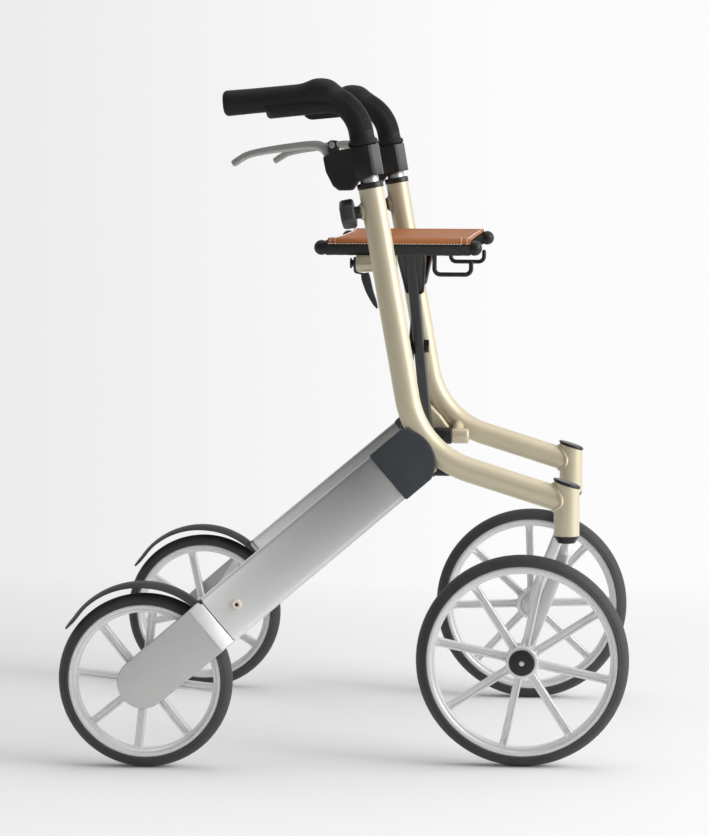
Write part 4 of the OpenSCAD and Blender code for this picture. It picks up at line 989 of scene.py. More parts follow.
class ROLLATOR_OT_rear_forks(bpy.types.Operator):
    """Make the rear forks: an outer plate around the axle with a slanted face up to the beam"""
    bl_idname = "rollator.rear_forks"
    bl_label = "Rear forks"

    def execute(self, context):
        sizes = context.scene.rollator_sizes
        inner, outer = 0.3015, 0.3095
        seam_inner, seam_outer = 0.2900, 0.2985
        shoulder, crease, seam, high, eye = 0.060, 0.096, BEAM_SEAM - 0.0006, 0.031, 0.030
        angles = [math.radians(92 + 176 * k / 40) for k in range(41)]
        arc = [(eye * math.cos(angle), eye * math.sin(angle)) for angle in angles]
        outline = [(seam, -high), (seam, high), (crease, high), (shoulder, high)] + arc
        outline += [(shoulder, -high), (crease, -high)]
        for side in SIDES:
            plate = bmesh.new()
            tops, lows = [], []
            for along, over in outline:
                slanted = along > crease + 1e-6
                tops.append(plate.verts.new(on_beam(along, seam_outer if slanted else outer, over)))
                lows.append(plate.verts.new(on_beam(along, seam_inner if slanted else inner, over)))
            for row in (tops, lows):
                plate.faces.new(row[2:])
                plate.faces.new((row[0], row[1], row[2], row[-1]))
            for k in range(len(outline)):
                n = (k + 1) % len(outline)
                plate.faces.new((tops[k], tops[n], lows[n], lows[k]))
            round_edges(plate, sizes.fork_round, 4, 22.0)
            part = bmesh.new()
            add(part, plate)
            prism(part, rounded([(0.264, -high), (0.298, -high), (0.298, high), (0.264, high)], 0.004, 4),
                  lambda u, v, w: on_beam(w, u, v), 0.1078, seam, 0.0008, 2)
            rod(part, on_beam(0.0, inner - 0.0004, 0.0), on_beam(0.0, inner + 0.002, 0.0), 0.012, 0.0004)
            put_side(side, "fork_casting", part, "silver_paint", "frame", "rear_fork", 30.0)
        return {"FINISHED"}


class ROLLATOR_OT_side_frames(bpy.types.Operator):
    """Make the welded side frames: bent tube, steering head, bosses, seat rest and weld beads"""
    bl_idname = "rollator.side_frames"
    bl_label = "Side frames"

    def execute(self, context):
        sizes = context.scene.rollator_sizes
        tube_r, head_r = sizes.tube_r, sizes.head_r
        bar_l = (STEERING.x - CORNER.x) / math.cos(FALL)
        centre = on_upright(BEND_R, 0.0, BEND_TANGENT)
        path = [(on_upright(0.0, 0.0, UPRIGHT_L + (BEND_TANGENT - UPRIGHT_L) * k / 12), -UP) for k in range(12)]
        for k in range(37):
            angle = BEND_TURN * k / 36
            path.append((centre - AHEAD * (BEND_R * math.cos(angle)) - UP * (BEND_R * math.sin(angle)),
                         AHEAD * math.sin(angle) - UP * math.cos(angle)))
        path += [(CORNER + BAR * (BEND_TANGENT + (bar_l - BEND_TANGENT) * k / 8), BAR) for k in range(1, 9)]
        rest_x = CORNER.x - (CATCH_PIVOT.z - CORNER.z) * math.tan(LEAN)
        strut_x = 0.111
        strut_z = centre.z - math.sqrt(BEND_R ** 2 - (centre.x - strut_x) ** 2)
        for side in SIDES:
            part = bmesh.new()
            sweep(part, path, tube_r, 56)
            loft(part, self.head_rings(head_r))
            lathe(part, rounded([(0.0, 0.0, 0.0), (0.0088, 0.0, 0.0), (0.0088, 0.0145, 0.001),
                                 (0.0072, 0.0165, 0.002), (0.0068, tube_r + 0.0095), (0.0, tube_r + 0.0095, 0.0)],
                                0.0008, 4),
                  on_upright(0.0, 0.0, KNOB_H), -AHEAD, 48)
            rest = Vector((0.009, CATCH_PIVOT.y, CATCH_PIVOT.z))
            rod(part, rest, rest + Vector((0.048, 0.0, 0.0)), 0.010, 0.0016)
            rod(part, Vector((rest_x, rest.y, rest.z)), Vector((rest_x, CORNER.y, rest.z)), 0.007)
            boss = Vector((0.080, ARM_PIVOT.y, ARM_PIVOT.z))
            rod(part, boss + Vector((0.0225, 0.0, 0.0)), boss + Vector((0.0458, 0.0, 0.0)), 0.0098, 0.0030)
            rod(part, Vector((strut_x, boss.y, boss.z)), Vector((strut_x, CORNER.y, strut_z)), 0.007)
            put_side(side, "frame_tubes", part, "champagne", "frame", "side_frame", 35.0)
            part = bmesh.new()
            rod(part, boss, boss + Vector((0.0230, 0.0, 0.0)), 0.0108, 0.0012)
            outer = boss + ACROSS * 0.0030
            rod(part, outer + Vector((0.0220, 0.0, 0.0)), outer + Vector((0.0410, 0.0, 0.0)), 0.0094, 0.0020)
            put_side(side, "pivot_sleeve", part, "arm_black", "frame")
            part = bmesh.new()
            loft(part, [self.head_ring(head_r + wide, HEAD_TOP + rise, True)
                        for wide, rise in ((-0.0030, -0.0060), (0.0001, 0.0001), (0.0007, 0.0005),
                                           (0.0008, 0.0020), (0.0003, 0.0030), (-0.0010, 0.0035),
                                           (-0.0030, 0.0033), (-0.0080, 0.0029))])
            put_side(side, "head_cover", part, "black_plastic", "frame", "head_cap", 40.0)
            half = sizes.weld_bead
            beads(side + "_frame_welds", [(self.head_weld(tube_r, head_r), True),
                                          (self.boss_weld(tube_r, 0.0078), True),
                                          (self.strut_weld(rest_x, rest.z, tube_r), True)],
                  half * 0.34, (half * 0.6, half, half), FINISHES["champagne"], side + "_frame", side)
        return {"FINISHED"}

    @staticmethod
    def head_ring(radius, height, slanted):
        """A ring around the steering axis, square to it or slanted as the head's top."""
        points = []
        for angle in around(56):
            x, y = radius * math.cos(angle), radius * math.sin(angle)
            z = height - STEERING.z - (x * math.tan(FALL) if slanted else 0.0)
            points.append(STEERING + Vector((x, y, z)))
        return points

    def head_rings(self, head_r):
        """Rings of the steering head, square below and slanted above."""
        edge = 0.0008
        rings = ((head_r - edge, HEAD_BOTTOM, False), (head_r, HEAD_BOTTOM + edge, False),
                 (head_r, HEAD_BOTTOM + 0.020, False), (head_r, HEAD_TOP - edge, True),
                 (head_r - edge, HEAD_TOP, True))
        return [self.head_ring(*ring) for ring in rings]

    @staticmethod
    def head_weld(tube_r, head_r):
        """Line where the lower bar meets the steering head."""
        over = BAR.cross(ACROSS).normalized()
        end = CORNER + BAR * ((STEERING.x - CORNER.x) / math.cos(FALL))
        points = []
        for angle in around(96):
            y, z = tube_r * math.cos(angle), tube_r * math.sin(angle)
            back = (0.0058 + (head_r - 0.0048) * (z / tube_r) ** 2 + over.x * z) / math.cos(FALL)
            points.append(end + ACROSS * y + over * z - BAR * back)
        return points

    @staticmethod
    def boss_weld(tube_r, radius):
        """Line where the knob's boss meets the upright."""
        points = []
        for angle in around(36):
            y, z = radius * math.cos(angle), radius * math.sin(angle)
            points.append(on_upright(-math.sqrt(tube_r ** 2 - y ** 2) - 0.0002, y, KNOB_H + z))
        return points

    @staticmethod
    def strut_weld(rest_x, rest_z, tube_r):
        """Line where the seat rest's strut meets the upright."""
        points = []
        for angle in around(36):
            x, z = 0.0076 * math.cos(angle), 0.0076 * math.sin(angle)
            off = x * math.cos(LEAN) + z * math.sin(LEAN)
            points.append(Vector((rest_x + x, CORNER.y - math.sqrt(tube_r ** 2 - off ** 2) - 0.0002, rest_z + z)))
        return points


class ROLLATOR_OT_front_forks(bpy.types.Operator):
    """Make the caster forks: polished stem, crown and one slender leg"""
    bl_idname = "rollator.front_forks"
    bl_label = "Front forks"

    def execute(self, context):
        crown_z, leg_t = 0.255, 0.010
        leg_y = FRONT_AXLE.y - HUB_HALF - 0.0005 - leg_t
        crown = Vector((STEERING.x, STEERING.y, crown_z))
        run = Vector((FRONT_AXLE.x - STEERING.x, 0.0, FRONT_AXLE.z - crown_z))
        down = run.normalized()
        wide = down.cross(ACROSS)
        for side in SIDES:
            part = bmesh.new()
            prism(part, link(0.0076, run.length, 0.0086),
                  lambda u, v, w: Vector((crown.x, w, crown_z)) + down * u + wide * v,
                  leg_y, leg_y + leg_t, 0.0044, 6)
            lathe(part, rounded([(0.0, -0.0066), (0.0046, -0.0060, 0.004), (0.0050, 0.0, 0.004),
                                 (0.0047, 0.0060, 0.003), (0.0047, 0.0650, 0.0), (0.0, 0.0650, 0.0)], 0.003, 6),
                  crown, Vector((0.0, 0.0, 1.0)), 48)
            rod(part, Vector((crown.x, leg_y + 0.0005, crown_z)), Vector((crown.x, crown.y, crown_z)),
                0.0060, 0.0030)
            put_side(side, "fork_leg", part, "rim_silver", "caster", "front_fork", 35.0)
        return {"FINISHED"}


class ROLLATOR_OT_grips(bpy.types.Operator):
    """Model the rubber grips with their swelling, finger rib, collar and rows of dots"""
    bl_idname = "rollator.grips"
    bl_label = "Hand grips"

    def execute(self, context):
        sizes = context.scene.rollator_sizes
        corner = on_upright(0.0, 0.0, GRIP_CORNER)
        back = -AHEAD * math.sin(GRIP_TURN) + UP * math.cos(GRIP_TURN)
        tangent = GRIP_BEND_R * math.tan(GRIP_TURN / 2)
        bend_start = GRIP_CORNER - tangent - CLAMP_TOP
        centre = on_upright(-GRIP_BEND_R, 0.0, GRIP_CORNER - tangent)
        top = AHEAD * math.cos(GRIP_TURN) + UP * math.sin(GRIP_TURN)
        r = sizes.grip_r
        end = 0.153
        stations = []
        for rise, radius in ((0.0, 0.0150), (0.0004, 0.0162), (0.0014, 0.0171), (0.0028, 0.0176), (0.0044, 0.0176),
                             (0.0058, 0.0171), (0.0068, 0.0161), (0.0074, 0.0152), (0.0084, 0.0149), (0.0110, r),
                             (bend_start, r)):
            stations.append((on_upright(0.0, 0.0, CLAMP_TOP + rise), AHEAD, radius, 0.0))
        arc = GRIP_BEND_R * GRIP_TURN
        for k in range(1, 57):
            angle = GRIP_TURN * k / 56
            normal = AHEAD * math.cos(angle) + UP * math.sin(angle)
            swell = self.swell(sizes, arc * (k / 56 - 1) + tangent)
            stations.append((centre + normal * GRIP_BEND_R, normal, r, swell))
        for k in range(1, 61):
            at = tangent + (end - 0.006 - tangent) * k / 60
            radius = r + 0.0004 * max(0.0, (at - 0.12) / 0.03)
            stations.append((corner + back * at, top, radius, self.swell(sizes, at)))
        for k in range(1, 9):
            angle = math.pi / 2 * k / 8
            stations.append((corner + back * (end - 0.006 + 0.006 * math.sin(angle)), top,
                             r + 0.0004 - 0.006 * (1 - math.cos(angle)), 0.0))
        rings = []
        for point, normal, radius, swell in stations:
            ring = []
            for angle in around(48):
                reach = radius + swell * (0.5 + 0.5 * math.cos(angle)) ** 1.3
                ring.append(point + normal * (reach * math.cos(angle)) + ACROSS * (reach * math.sin(angle)))
            rings.append(ring)
        ribs = []
        for at, depth in ((0.1040, 0.0010), (0.1020, 0.0034), (0.0990, 0.0060), (0.0965, 0.0072), (0.0930, 0.0076),
                          (0.0800, 0.0076), (0.0640, 0.0076), (tangent, 0.0074)):
            ribs.append(self.rib_ring(sizes, corner + back * at, top, r + depth))
        for k in range(1, 15):
            angle = GRIP_TURN - math.radians(46.0) * k / 14
            normal = AHEAD * math.cos(angle) + UP * math.sin(angle)
            depth = 0.0074 * (1 - (k / 14) ** 1.6) - 0.0004
            ribs.append(self.rib_ring(sizes, centre + normal * GRIP_BEND_R, normal, r + depth))
        for side in SIDES:
            part = bmesh.new()
            loft(part, rings)
            loft(part, ribs)
            put_side(side, "grip_rubber", part, "rubber", "handle", "grip", 50.0)
            rows = []
            for row in range(-2, 3):
                for turned in (-1.0, 1.0):
                    about = turned * (0.72 + row * 0.12)
                    rows.append(([centre + (AHEAD * math.cos(angle) + UP * math.sin(angle))
                                  * (GRIP_BEND_R + r * math.cos(about)) + ACROSS * (r * math.sin(about))
                                  for angle in (GRIP_TURN * (k + 1) / 40 for k in range(36))], False))
            beads(side + "_grip_dots", rows, sizes.dot_spacing, (0.0009, 0.0009, 0.0009), FINISHES["rubber"],
                  side + "_handle", side, 1)
        return {"FINISHED"}

    @staticmethod
    def rib_ring(sizes, point, normal, depth):
        """Section of the rib below the grip and to its outer side, down to a depth."""
        shape = rounded([(-0.0064, -0.006), (-0.0062, -depth), (0.0062, -depth), (0.0064, -0.006)], 0.0024, 5)
        c, s = math.cos(sizes.rib_turn), math.sin(sizes.rib_turn)
        return [point + ACROSS * (aside * c - down * s) + normal * (aside * s + down * c) for aside, down in shape]

    @staticmethod
    def swell(sizes, at):
        """Height of the swelling above the grip at a distance behind the corner, steeper at its front."""
        away = (at - 0.036) / (0.0180 if at > 0.036 else 0.0125)
        return sizes.grip_swell * math.exp(-abs(away) ** 2.8)


class ROLLATOR_OT_brakes(bpy.types.Operator):
    """Model the brake housings on the posts and the cast brake levers"""
    bl_idname = "rollator.brakes"
    bl_label = "Brake housings and levers"

    def execute(self, context):
        sizes = context.scene.rollator_sizes
        body = rounded([(-0.0270, 0.7130, 0.003), (-0.0235, 0.6955, 0.02), (-0.0150, 0.6790, 0.006),
                        (-0.0080, 0.6738, 0.005), (0.0075, 0.6742, 0.004), (0.0150, 0.6850, 0.004),
                        (0.0300, 0.6905, 0.002), (0.0300, 0.7245, 0.002), (0.0050, 0.7230, 0.004),
                        (-0.0060, 0.7215, 0.006), (-0.0140, 0.7165, 0.006)], 0.003, 5)
        facets = [(-0.0165, 0.0130), (0.0000, 0.0174, 0.006), (0.0062, 0.0174, 0.0008), (0.0098, 0.0152, 0.0006),
                  (0.0172, 0.0090, 0.0008)]
        mirrored = [(ahead, -aside, *own) for ahead, aside, *own in facets]
        clamp = rounded(mirrored + [(0.0176, 0.0, 0.0)] + facets[::-1], 0.005, 5)
        ear = rounded([(-0.0050, -0.014), (0.0066, -0.014), (0.0058, 0.0050), (-0.0046, 0.0046)], 0.0022, 5)
        wall_outer = 0.0112
        spine = smooth_curve([(-0.0205, 0.7070, 0.0042, 0.0052), (-0.0225, 0.7165, 0.0052, 0.0056),
                              (-0.0290, 0.7242, 0.0058, 0.0062), (-0.0400, 0.7262, 0.0054, 0.0065),
                              (-0.0650, 0.7240, 0.0048, 0.0064), (-0.0970, 0.7192, 0.0044, 0.0060),
                              (-0.1150, 0.7148, 0.0043, 0.0057), (-0.1240, 0.7100, 0.0043, 0.0055),
                              (-0.1318, 0.7048, 0.0040, 0.0052), (-0.1334, 0.7038, 0.0022, 0.0038)], 8)
        for side in SIDES:
            part = bmesh.new()
            prism(part, body, lambda u, v, w: Vector((u, CORNER.y + w, v)), -0.0130, 0.0130, 0.0030, 4, 40.0)
            prism(part, clamp, on_upright, CLAMP_BOTTOM, CLAMP_TOP - 0.0002, 0.0010, 3, 50.0)
            for wall in (-1, 1):
                near, far = sorted((wall * 0.0072, wall * wall_outer))
                prism(part, ear, lambda u, v, w: LEVER_PIVOT + AHEAD * u + UP * v + ACROSS * w,
                      near, far, 0.0008, 2)
            put_side(side, "housing_shell", part, "black_plastic", "handle", "brake_housing", 35.0)
            part = bmesh.new()
            lathe(part, rounded([(0.0111, -0.0200, 0.0), (0.0124, -0.0200, 0.0), (0.0124, -0.0046, 0.0),
                                 (0.0154, -0.0046), (0.0154, 0.0016), (0.0136, 0.0024), (0.0111, 0.0024)],
                                0.0008, 4),
                  on_upright(0.0, 0.0, UPRIGHT_L), UP, 64)
            put_side(side, "post_collar", part, "black_plastic", "frame", "post_bush")
            part = bmesh.new()
            halves = [spot[3] * sizes.lever_w / 0.013 for spot in spine]
            loft(part, spine_rings(spine, ACROSS * CORNER.y, halves, 0.55, 0.6))
            rod(part, LEVER_PIVOT - ACROSS * 0.0064, LEVER_PIVOT + ACROSS * 0.0064, 0.0058, 0.001)
            put_side(side, "lever_blade", part, "lever_metal", "lever", "brake_lever", 40.0)
            part = bmesh.new()
            for wall in (-1, 1):
                out = ACROSS * wall
                socket_screw(part, LEVER_PIVOT + out * 0.0110, out, 0.0036, 0.0014, 0.0016, 0.0009)
                rod(part, LEVER_PIVOT + out * 0.0066, LEVER_PIVOT + out * wall_outer, 0.0020, 0.0003)
            put_side(side, "lever_screws", part, "lever_metal", "handle", "lever_pin")
        return {"FINISHED"}


class ROLLATOR_OT_knobs(bpy.types.Operator):
    """Model the faceted clamp knobs behind the uprights"""
    bl_idname = "rollator.knobs"
    bl_label = "Clamp knobs"

    def execute(self, context):
        sizes = context.scene.rollator_sizes
        start = sizes.tube_r + 0.0100
        for side in SIDES:
            rings = []
            for along, scale in ((-0.0028, 0.46), (-0.0024, 0.62), (-0.0016, 0.88), (-0.0004, 0.965), (0.0012, 1.0),
                                 (0.0108, 1.0), (0.0130, 0.965), (0.0146, 0.88), (0.0152, 0.74), (0.0148, 0.62),
                                 (0.0141, 0.56), (0.0141, 0.25)):
                ring = []
                for angle in around(72):
                    within = (angle + math.pi / 6) % (math.pi / 3) - math.pi / 6
                    flat = math.cos(math.pi / 6) / math.cos(within)
                    reach = sizes.knob_r * scale * min(1.0, flat * 1.07)
                    aside, lift = reach * math.cos(angle), reach * math.sin(angle)
                    ring.append(on_upright(-start - along, aside, KNOB_H + lift))
                rings.append(ring)
            part = bmesh.new()
            loft(part, rings)
            rod(part, on_upright(-start - 0.001, 0.0, KNOB_H), on_upright(-0.0115, 0.0, KNOB_H), 0.004, 0.0005)
            lathe(part, rounded([(0.0042, 0.0, 0.0), (0.0078, 0.0), (0.0080, 0.0012, 0.002), (0.0072, 0.0050, 0.004),
                                 (0.0078, 0.0092, 0.001), (0.0042, 0.0092, 0.0)], 0.0006, 4),
                  on_upright(-start + 0.0088, 0.0, KNOB_H), -AHEAD, 36)
            put_side(side, "knob_head", part, "knob", "knob", "clamp_knob", 25.0)
        return {"FINISHED"}


class ROLLATOR_OT_seat_arms(bpy.types.Operator):
    """Make the crossed seat arms with their leaf-shaped rail brackets, and the fold catches"""
    bl_idname = "rollator.seat_arms"
    bl_label = "Seat arms and catches"

    def execute(self, context):
        foot = Vector((ARM_PIVOT.y, ARM_PIVOT.z))
        top = Vector((-RAIL_Y, RAIL_Z))
        run = top - foot
        up = run.normalized()
        aside = Vector((-up.y, up.x))
        cross = -foot.x / up.x
        leaf = rounded([(-0.0168, 0.004, 0.002), (0.0168, 0.004, 0.002), (0.0168, 0.026, 0.030),
                        (0.0108, 0.104, 0.008), (-0.0108, 0.104, 0.008), (-0.0168, 0.026, 0.030)], 0.004, 8)
        for side, name, body, plane, depth in (("left", "front_arm", "front_cross", 0.0660, 0.0125),
                                               ("right", "rear_arm", "rear_cross", 0.0592, 0.0064)):
            def place(along, off, x):
                spot = foot + up * along + aside * off
                return Vector((x, spot.x, spot.y))
            part = bmesh.new()
            prism(part, link(0.012, cross, 0.012), place, plane, plane + depth, 0.0026, 5)
            prism(part, [(cross + u, v) for u, v in link(0.012, run.length - cross, 0.0064)], place, plane,
                  plane + depth, 0.0026, 5)
            middle = plane + depth / 2 + 0.001
            rings = []
            for off, scale in ((-0.0034, 0.80), (-0.0038, 0.84), (-0.0050, 0.88), (-0.0047, 0.96), (-0.0036, 1.0),
                               (0.0036, 1.0), (0.0047, 0.96), (0.0050, 0.88), (0.0038, 0.84), (0.0034, 0.80)):
                ring = []
                for u, v in leaf:
                    along = run.length - (0.054 + (v - 0.054) * (1 - (1 - scale) * 0.34))
                    ring.append(place(along, off, middle + u * scale))
                rings.append(ring)
            loft(part, rings)
            put(name + "_bar", part, FINISHES["arm_black"], body, (name,), side, 35.0)
        blade = smooth_curve([(0.0128, -0.0114, 0.0046), (0.0137, -0.0160, 0.0053), (0.0154, -0.0225, 0.0053),
                              (0.0188, -0.0335, 0.0044), (0.0241, -0.0455, 0.0031), (0.0275, -0.0528, 0.0012)], 6)
        strap = smooth_curve([(0.0008, -0.0045, 0.0016), (0.0016, -0.0100, 0.0014), (0.0060, -0.0116, 0.0011),
                              (0.0140, -0.0128, 0.0011)], 6)
        hang = Vector((0.0065, CATCH_PIVOT.y, CATCH_PIVOT.z))
        for side in SIDES:
            part = bmesh.new()
            for spine in (blade, strap):
                loft(part, spine_rings(spine, hang, [0.0020] * len(spine), 0.5, 0.7))
            eye = rounded([(0.0043, -0.0004), (0.0075, -0.0004), (0.0075, 0.0020), (0.0043, 0.0020)], 0.0008, 4)
            lathe(part, eye, hang, Vector((1.0, 0.0, 0.0)), 48)
            put_side(side, "catch_blade", part, "charcoal", "catch", "fold_catch", 40.0)
        return {"FINISHED"}


class ROLLATOR_OT_seat(bpy.types.Operator):
    """Stretch the leather seat over the rails, with its sleeves and white stitching"""
    bl_idname = "rollator.seat"
    bl_label = "Leather seat"

    def execute(self, context):
        sizes = context.scene.rollator_sizes
        low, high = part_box("seat_sling")
        self.rear, self.front = low[0] - 0.002, high[0] + 0.005
        self.lap_r = RAIL_R + 0.0012 + sizes.leather_t / 2
        self.lap = math.radians(62.0)
        self.lap_l = self.lap * self.lap_r
        self.sag = sizes.seat_sag
        self.front_bow, self.rear_bow = sizes.front_bow, sizes.rear_bow
        rows, columns = 97, 49
        part = bmesh.new()
        grid = []
        for i in range(rows):
            grid.append([part.verts.new(self.point(i / (rows - 1), k / (columns - 1))) for k in range(columns)])
        for i in range(rows - 1):
            for k in range(columns - 1):
                part.faces.new((grid[i][k], grid[i][k + 1], grid[i + 1][k + 1], grid[i + 1][k]))
        bmesh.ops.recalc_face_normals(part, faces=part.faces)
        mesh = bpy.data.meshes.new("seat_leather")
        part.to_mesh(mesh)
        part.free()
        if sum(face.normal.z for face in mesh.polygons) < 0.0:
            mesh.flip_normals()
        mesh = self.settle(mesh)
        surface = BVHTree.FromPolygons([vert.co.copy() for vert in mesh.vertices],
                                       [tuple(face.vertices) for face in mesh.polygons])
        seat = put_mesh("seat_leather", mesh, FINISHES["leather"], None, ("seat_sling",), 60.0)
        thick = seat.modifiers.new("thickness", "SOLIDIFY")
        thick.thickness = sizes.leather_t
        thick.offset = 0.0
        edge = seat.modifiers.new("edge", "BEVEL")
        edge.width = 0.0006
        edge.segments = 2
        edge.limit_method = "ANGLE"
        edge.angle_limit = math.radians(50.0)
        right, left = (0.06, -RAIL_Y, RAIL_Z), (0.06, RAIL_Y, RAIL_Z)
        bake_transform(seat)
        for side, body in (("right", "front_cross"), ("left", "rear_cross")):
            self.sleeve(side, body)
            self.balls(side, body)
            self.edge_stitches(sizes, side, body)
        self.cross_stitches(sizes, surface, right, left)
        return {"FINISHED"}

    def point(self, share, across):
        """A point of the unsettled leather, by its share from right to left and from rear to front."""
        run = share * (2 * RAIL_Y + 2 * self.lap_l)
        middle = run - self.lap_l - RAIL_Y
        bow = max(0.0, 1.0 - (middle / RAIL_Y) ** 2)
        start, end = self.rear + self.rear_bow * bow, self.front - self.front_bow * bow
        x = start + (end - start) * across
        if run < self.lap_l or run > self.lap_l + 2 * RAIL_Y:
            sign = -1.0 if run < self.lap_l else 1.0
            angle = (self.lap_l - run if sign < 0 else run - self.lap_l - 2 * RAIL_Y) / self.lap_r
            out, rise = self.lap_r * math.sin(angle), self.lap_r * math.cos(angle)
            return Vector((x, sign * (RAIL_Y + out), RAIL_Z + rise))
        dip = self.sag * (1.0 - (middle / RAIL_Y) ** 2) * (0.75 + 0.25 * (2 * across - 1) ** 2)
        return Vector((x, middle, RAIL_Z + self.lap_r - dip))

    def settle(self, mesh):
        """Lets the leather settle as a cloth that is held on the rails, and returns the settled mesh."""
        scene = bpy.context.scene
        cloth_piece = bpy.data.objects.new("settling_leather", mesh)
        scene.collection.objects.link(cloth_piece)
        held, grip_w = cloth_piece.vertex_groups.new(name="held"), 0.030
        for vert in mesh.vertices:
            grip = (abs(vert.co.y) - (RAIL_Y - grip_w)) / grip_w
            if grip > 0.0:
                held.add([vert.index], min(1.0, grip * 1.2), "REPLACE")
        rest = [vert.co.copy() for vert in mesh.vertices]
        modifier = cloth_piece.modifiers.new("cloth", "CLOTH")
        settings, steps = modifier.settings, 16
        settings.quality = 6
        settings.mass = 0.4
        settings.tension_stiffness = 60.0
        settings.compression_stiffness = 60.0
        settings.shear_stiffness = 20.0
        settings.bending_stiffness = 6.0
        settings.vertex_group_mass = "held"
        settings.pin_stiffness = 20.0
        settings.use_dynamic_mesh = False
        modifier.collision_settings.use_collision = False
        modifier.collision_settings.use_self_collision = False
        modifier.point_cache.frame_start = 1
        modifier.point_cache.frame_end = steps
        for step in range(1, steps + 1):
            scene.frame_set(step)
        depsgraph = bpy.context.evaluated_depsgraph_get()
        settled = bpy.data.meshes.new_from_object(cloth_piece.evaluated_get(depsgraph))
        most = 0.0014
        for vert, start in zip(settled.vertices, rest):
            move = vert.co - start
            if move.length > most:
                vert.co = start + move * (most / move.length)
        scene.frame_set(1)
        bpy.data.objects.remove(cloth_piece)
        return settled

    def sleeve(self, side, body):
        """Black sleeve around one rail, slightly uneven as sewn fabric is."""
        rings = []
        for i in range(81):
            x = self.rear - 0.002 + (self.front - self.rear + 0.001) * i / 80
            ring = []
            for angle in around(40):
                reach = RAIL_R + 0.0010 + 0.00018 * math.sin(3 * angle + 190 * x) * math.sin(310 * x)
                ring.append(Vector((x, RAIL_Y + reach * math.cos(angle), RAIL_Z + reach * math.sin(angle))))
            rings.append(ring)
        part = bmesh.new()
        loft(part, rings)
        return put(side + "_rail_sleeve", part, FINISHES["sleeve"], body, side=side, sharp=60.0)

    def balls(self, side, body):
        """Round knobs on both ends of one rail, with a neck to the sleeve."""
        low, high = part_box(side + "_rail")
        part = bmesh.new()
        reach = RAIL_R + 0.0009
        for end, way in ((low[0], 1.0), (high[0], -1.0)):
            angles = [math.pi * k / 24 for k in range(1, 23)]
            profile = [(reach * math.sin(angle), -reach * math.cos(angle)) for angle in angles]
            lathe(part, [(0.0003, -reach)] + profile + [(RAIL_R - 0.0006, reach), (0.0003, reach)],
                  Vector((end + way * (reach - 0.0004), RAIL_Y, RAIL_Z)), Vector((way, 0.0, 0.0)), 48)
        return put(side + "_rail_balls", part, FINISHES["arm_black"], body, side=side, sharp=50.0)

    def edge_stitches(self, sizes, side, body):
        """White stitches along one rail at the leather's lower edge, and a boxed tab at each end."""
        top = self.lap_r + sizes.leather_t / 2
        low = 90.0 - math.degrees(self.lap)

        def lap_point(x, degrees):
            about = math.radians(degrees)
            if degrees <= 90.0:
                return Vector((x, RAIL_Y + top * math.cos(about), RAIL_Z + top * math.sin(about)))
            return Vector((x, RAIL_Y - (about - math.pi / 2) * top, RAIL_Z + top))

        lines = [([lap_point(x, low - 3.0) for x in (self.rear + 0.002, self.front - 0.012)], False)]
        size = (sizes.stitch_l / 2, sizes.thread_r, sizes.thread_r)
        for start, end in ((self.rear + 0.003, self.rear + 0.009), (self.front - 0.004, self.front - 0.011)):
            for x in (start, end):
                lines.append(([lap_point(x, low + (122.0 - low) * k / 16) for k in range(17)], False))
            lines.append(([lap_point(start, 122.0), lap_point(end, 122.0)], False))
        return beads(side + "_rail_stitches", lines, sizes.stitch_l + sizes.stitch_gap, size, FINISHES["thread"], body,
                     side, 2)

    def cross_stitches(self, sizes, surface, right, left):
        """White stitches along the seat's front and rear edges, laid on the settled leather."""
        lines, inset, down = [], 0.0032, Vector((0.0, 0.0, -1.0))
        for across, inward in ((0.0, 1.0), (1.0, -1.0)):
            line = []
            for k in range(61):
                y = (RAIL_Y - 0.020) * (2 * k / 60 - 1)
                share = (y + RAIL_Y + self.lap_l) / (2 * RAIL_Y + 2 * self.lap_l)
                edge = self.point(share, across)
                hit = surface.ray_cast(Vector((edge.x + inward * inset, y, RAIL_Z + 0.05)), down)[0]
                if hit is None:
                    raise RuntimeError("a stitch missed the leather")
                line.append(hit + Vector((0.0, 0.0, sizes.leather_t / 2 + 0.0002)))
            lines.append((line, False))
        size = (sizes.stitch_l / 2, sizes.thread_r, sizes.thread_r)
        piece = beads("seat_edge_stitches", lines, sizes.stitch_l + sizes.stitch_gap, size, FINISHES["thread"], None)
        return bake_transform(piece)


class ROLLATOR_OT_stage(bpy.types.Operator):
    """Lay the pale floor with its curved backdrop and hang the soft studio light"""
    bl_idname = "rollator.stage"
    bl_label = "Stage and light"

    def execute(self, context):
        scene, colours = context.scene, context.scene.rollator_colours
        part = bmesh.new()
        far, cove, half, top = 7.0, 1.6, 14.0, 9.0
        rows = [(-half, 0.0), (far, 0.0)]
        for angle in (k * math.pi / 24 for k in range(1, 13)):
            rows.append((far + cove * math.sin(angle), cove - cove * math.cos(angle)))
        rows.append((far + cove, top))
        grid = [[part.verts.new((x, y, z)) for x in (-half, half)] for y, z in rows]
        for low, high in zip(grid, grid[1:]):
            part.faces.new((low[0], low[1], high[1], high[0]))
        mesh = bpy.data.meshes.new("backdrop")
        part.to_mesh(mesh)
        part.free()
        mesh.polygons.foreach_set("use_smooth", [True] * len(mesh.polygons))
        mesh.materials.append(self.paper(colours.floor, colours.wall_shaded_left, colours.wall_lit_right))
        backdrop = bpy.data.objects.new("backdrop", mesh)
        scene.collection.objects.link(backdrop)
        self.sky(scene)
        self.lamp("key", (3.2, -0.7, 1.7), (0.0, 0.0, 0.35), 2.4, 108.0)
        self.lamp("top", (0.2, 0.3, 3.4), (0.0, 0.0, 0.2), 2.4, 18.0)
        self.lamp("floor", (-0.50, -1.60, 0.55), (-0.50, -1.59, 0.0), 0.5, 3.4)
        scene.view_settings.view_transform = "Standard"
        return {"FINISHED"}

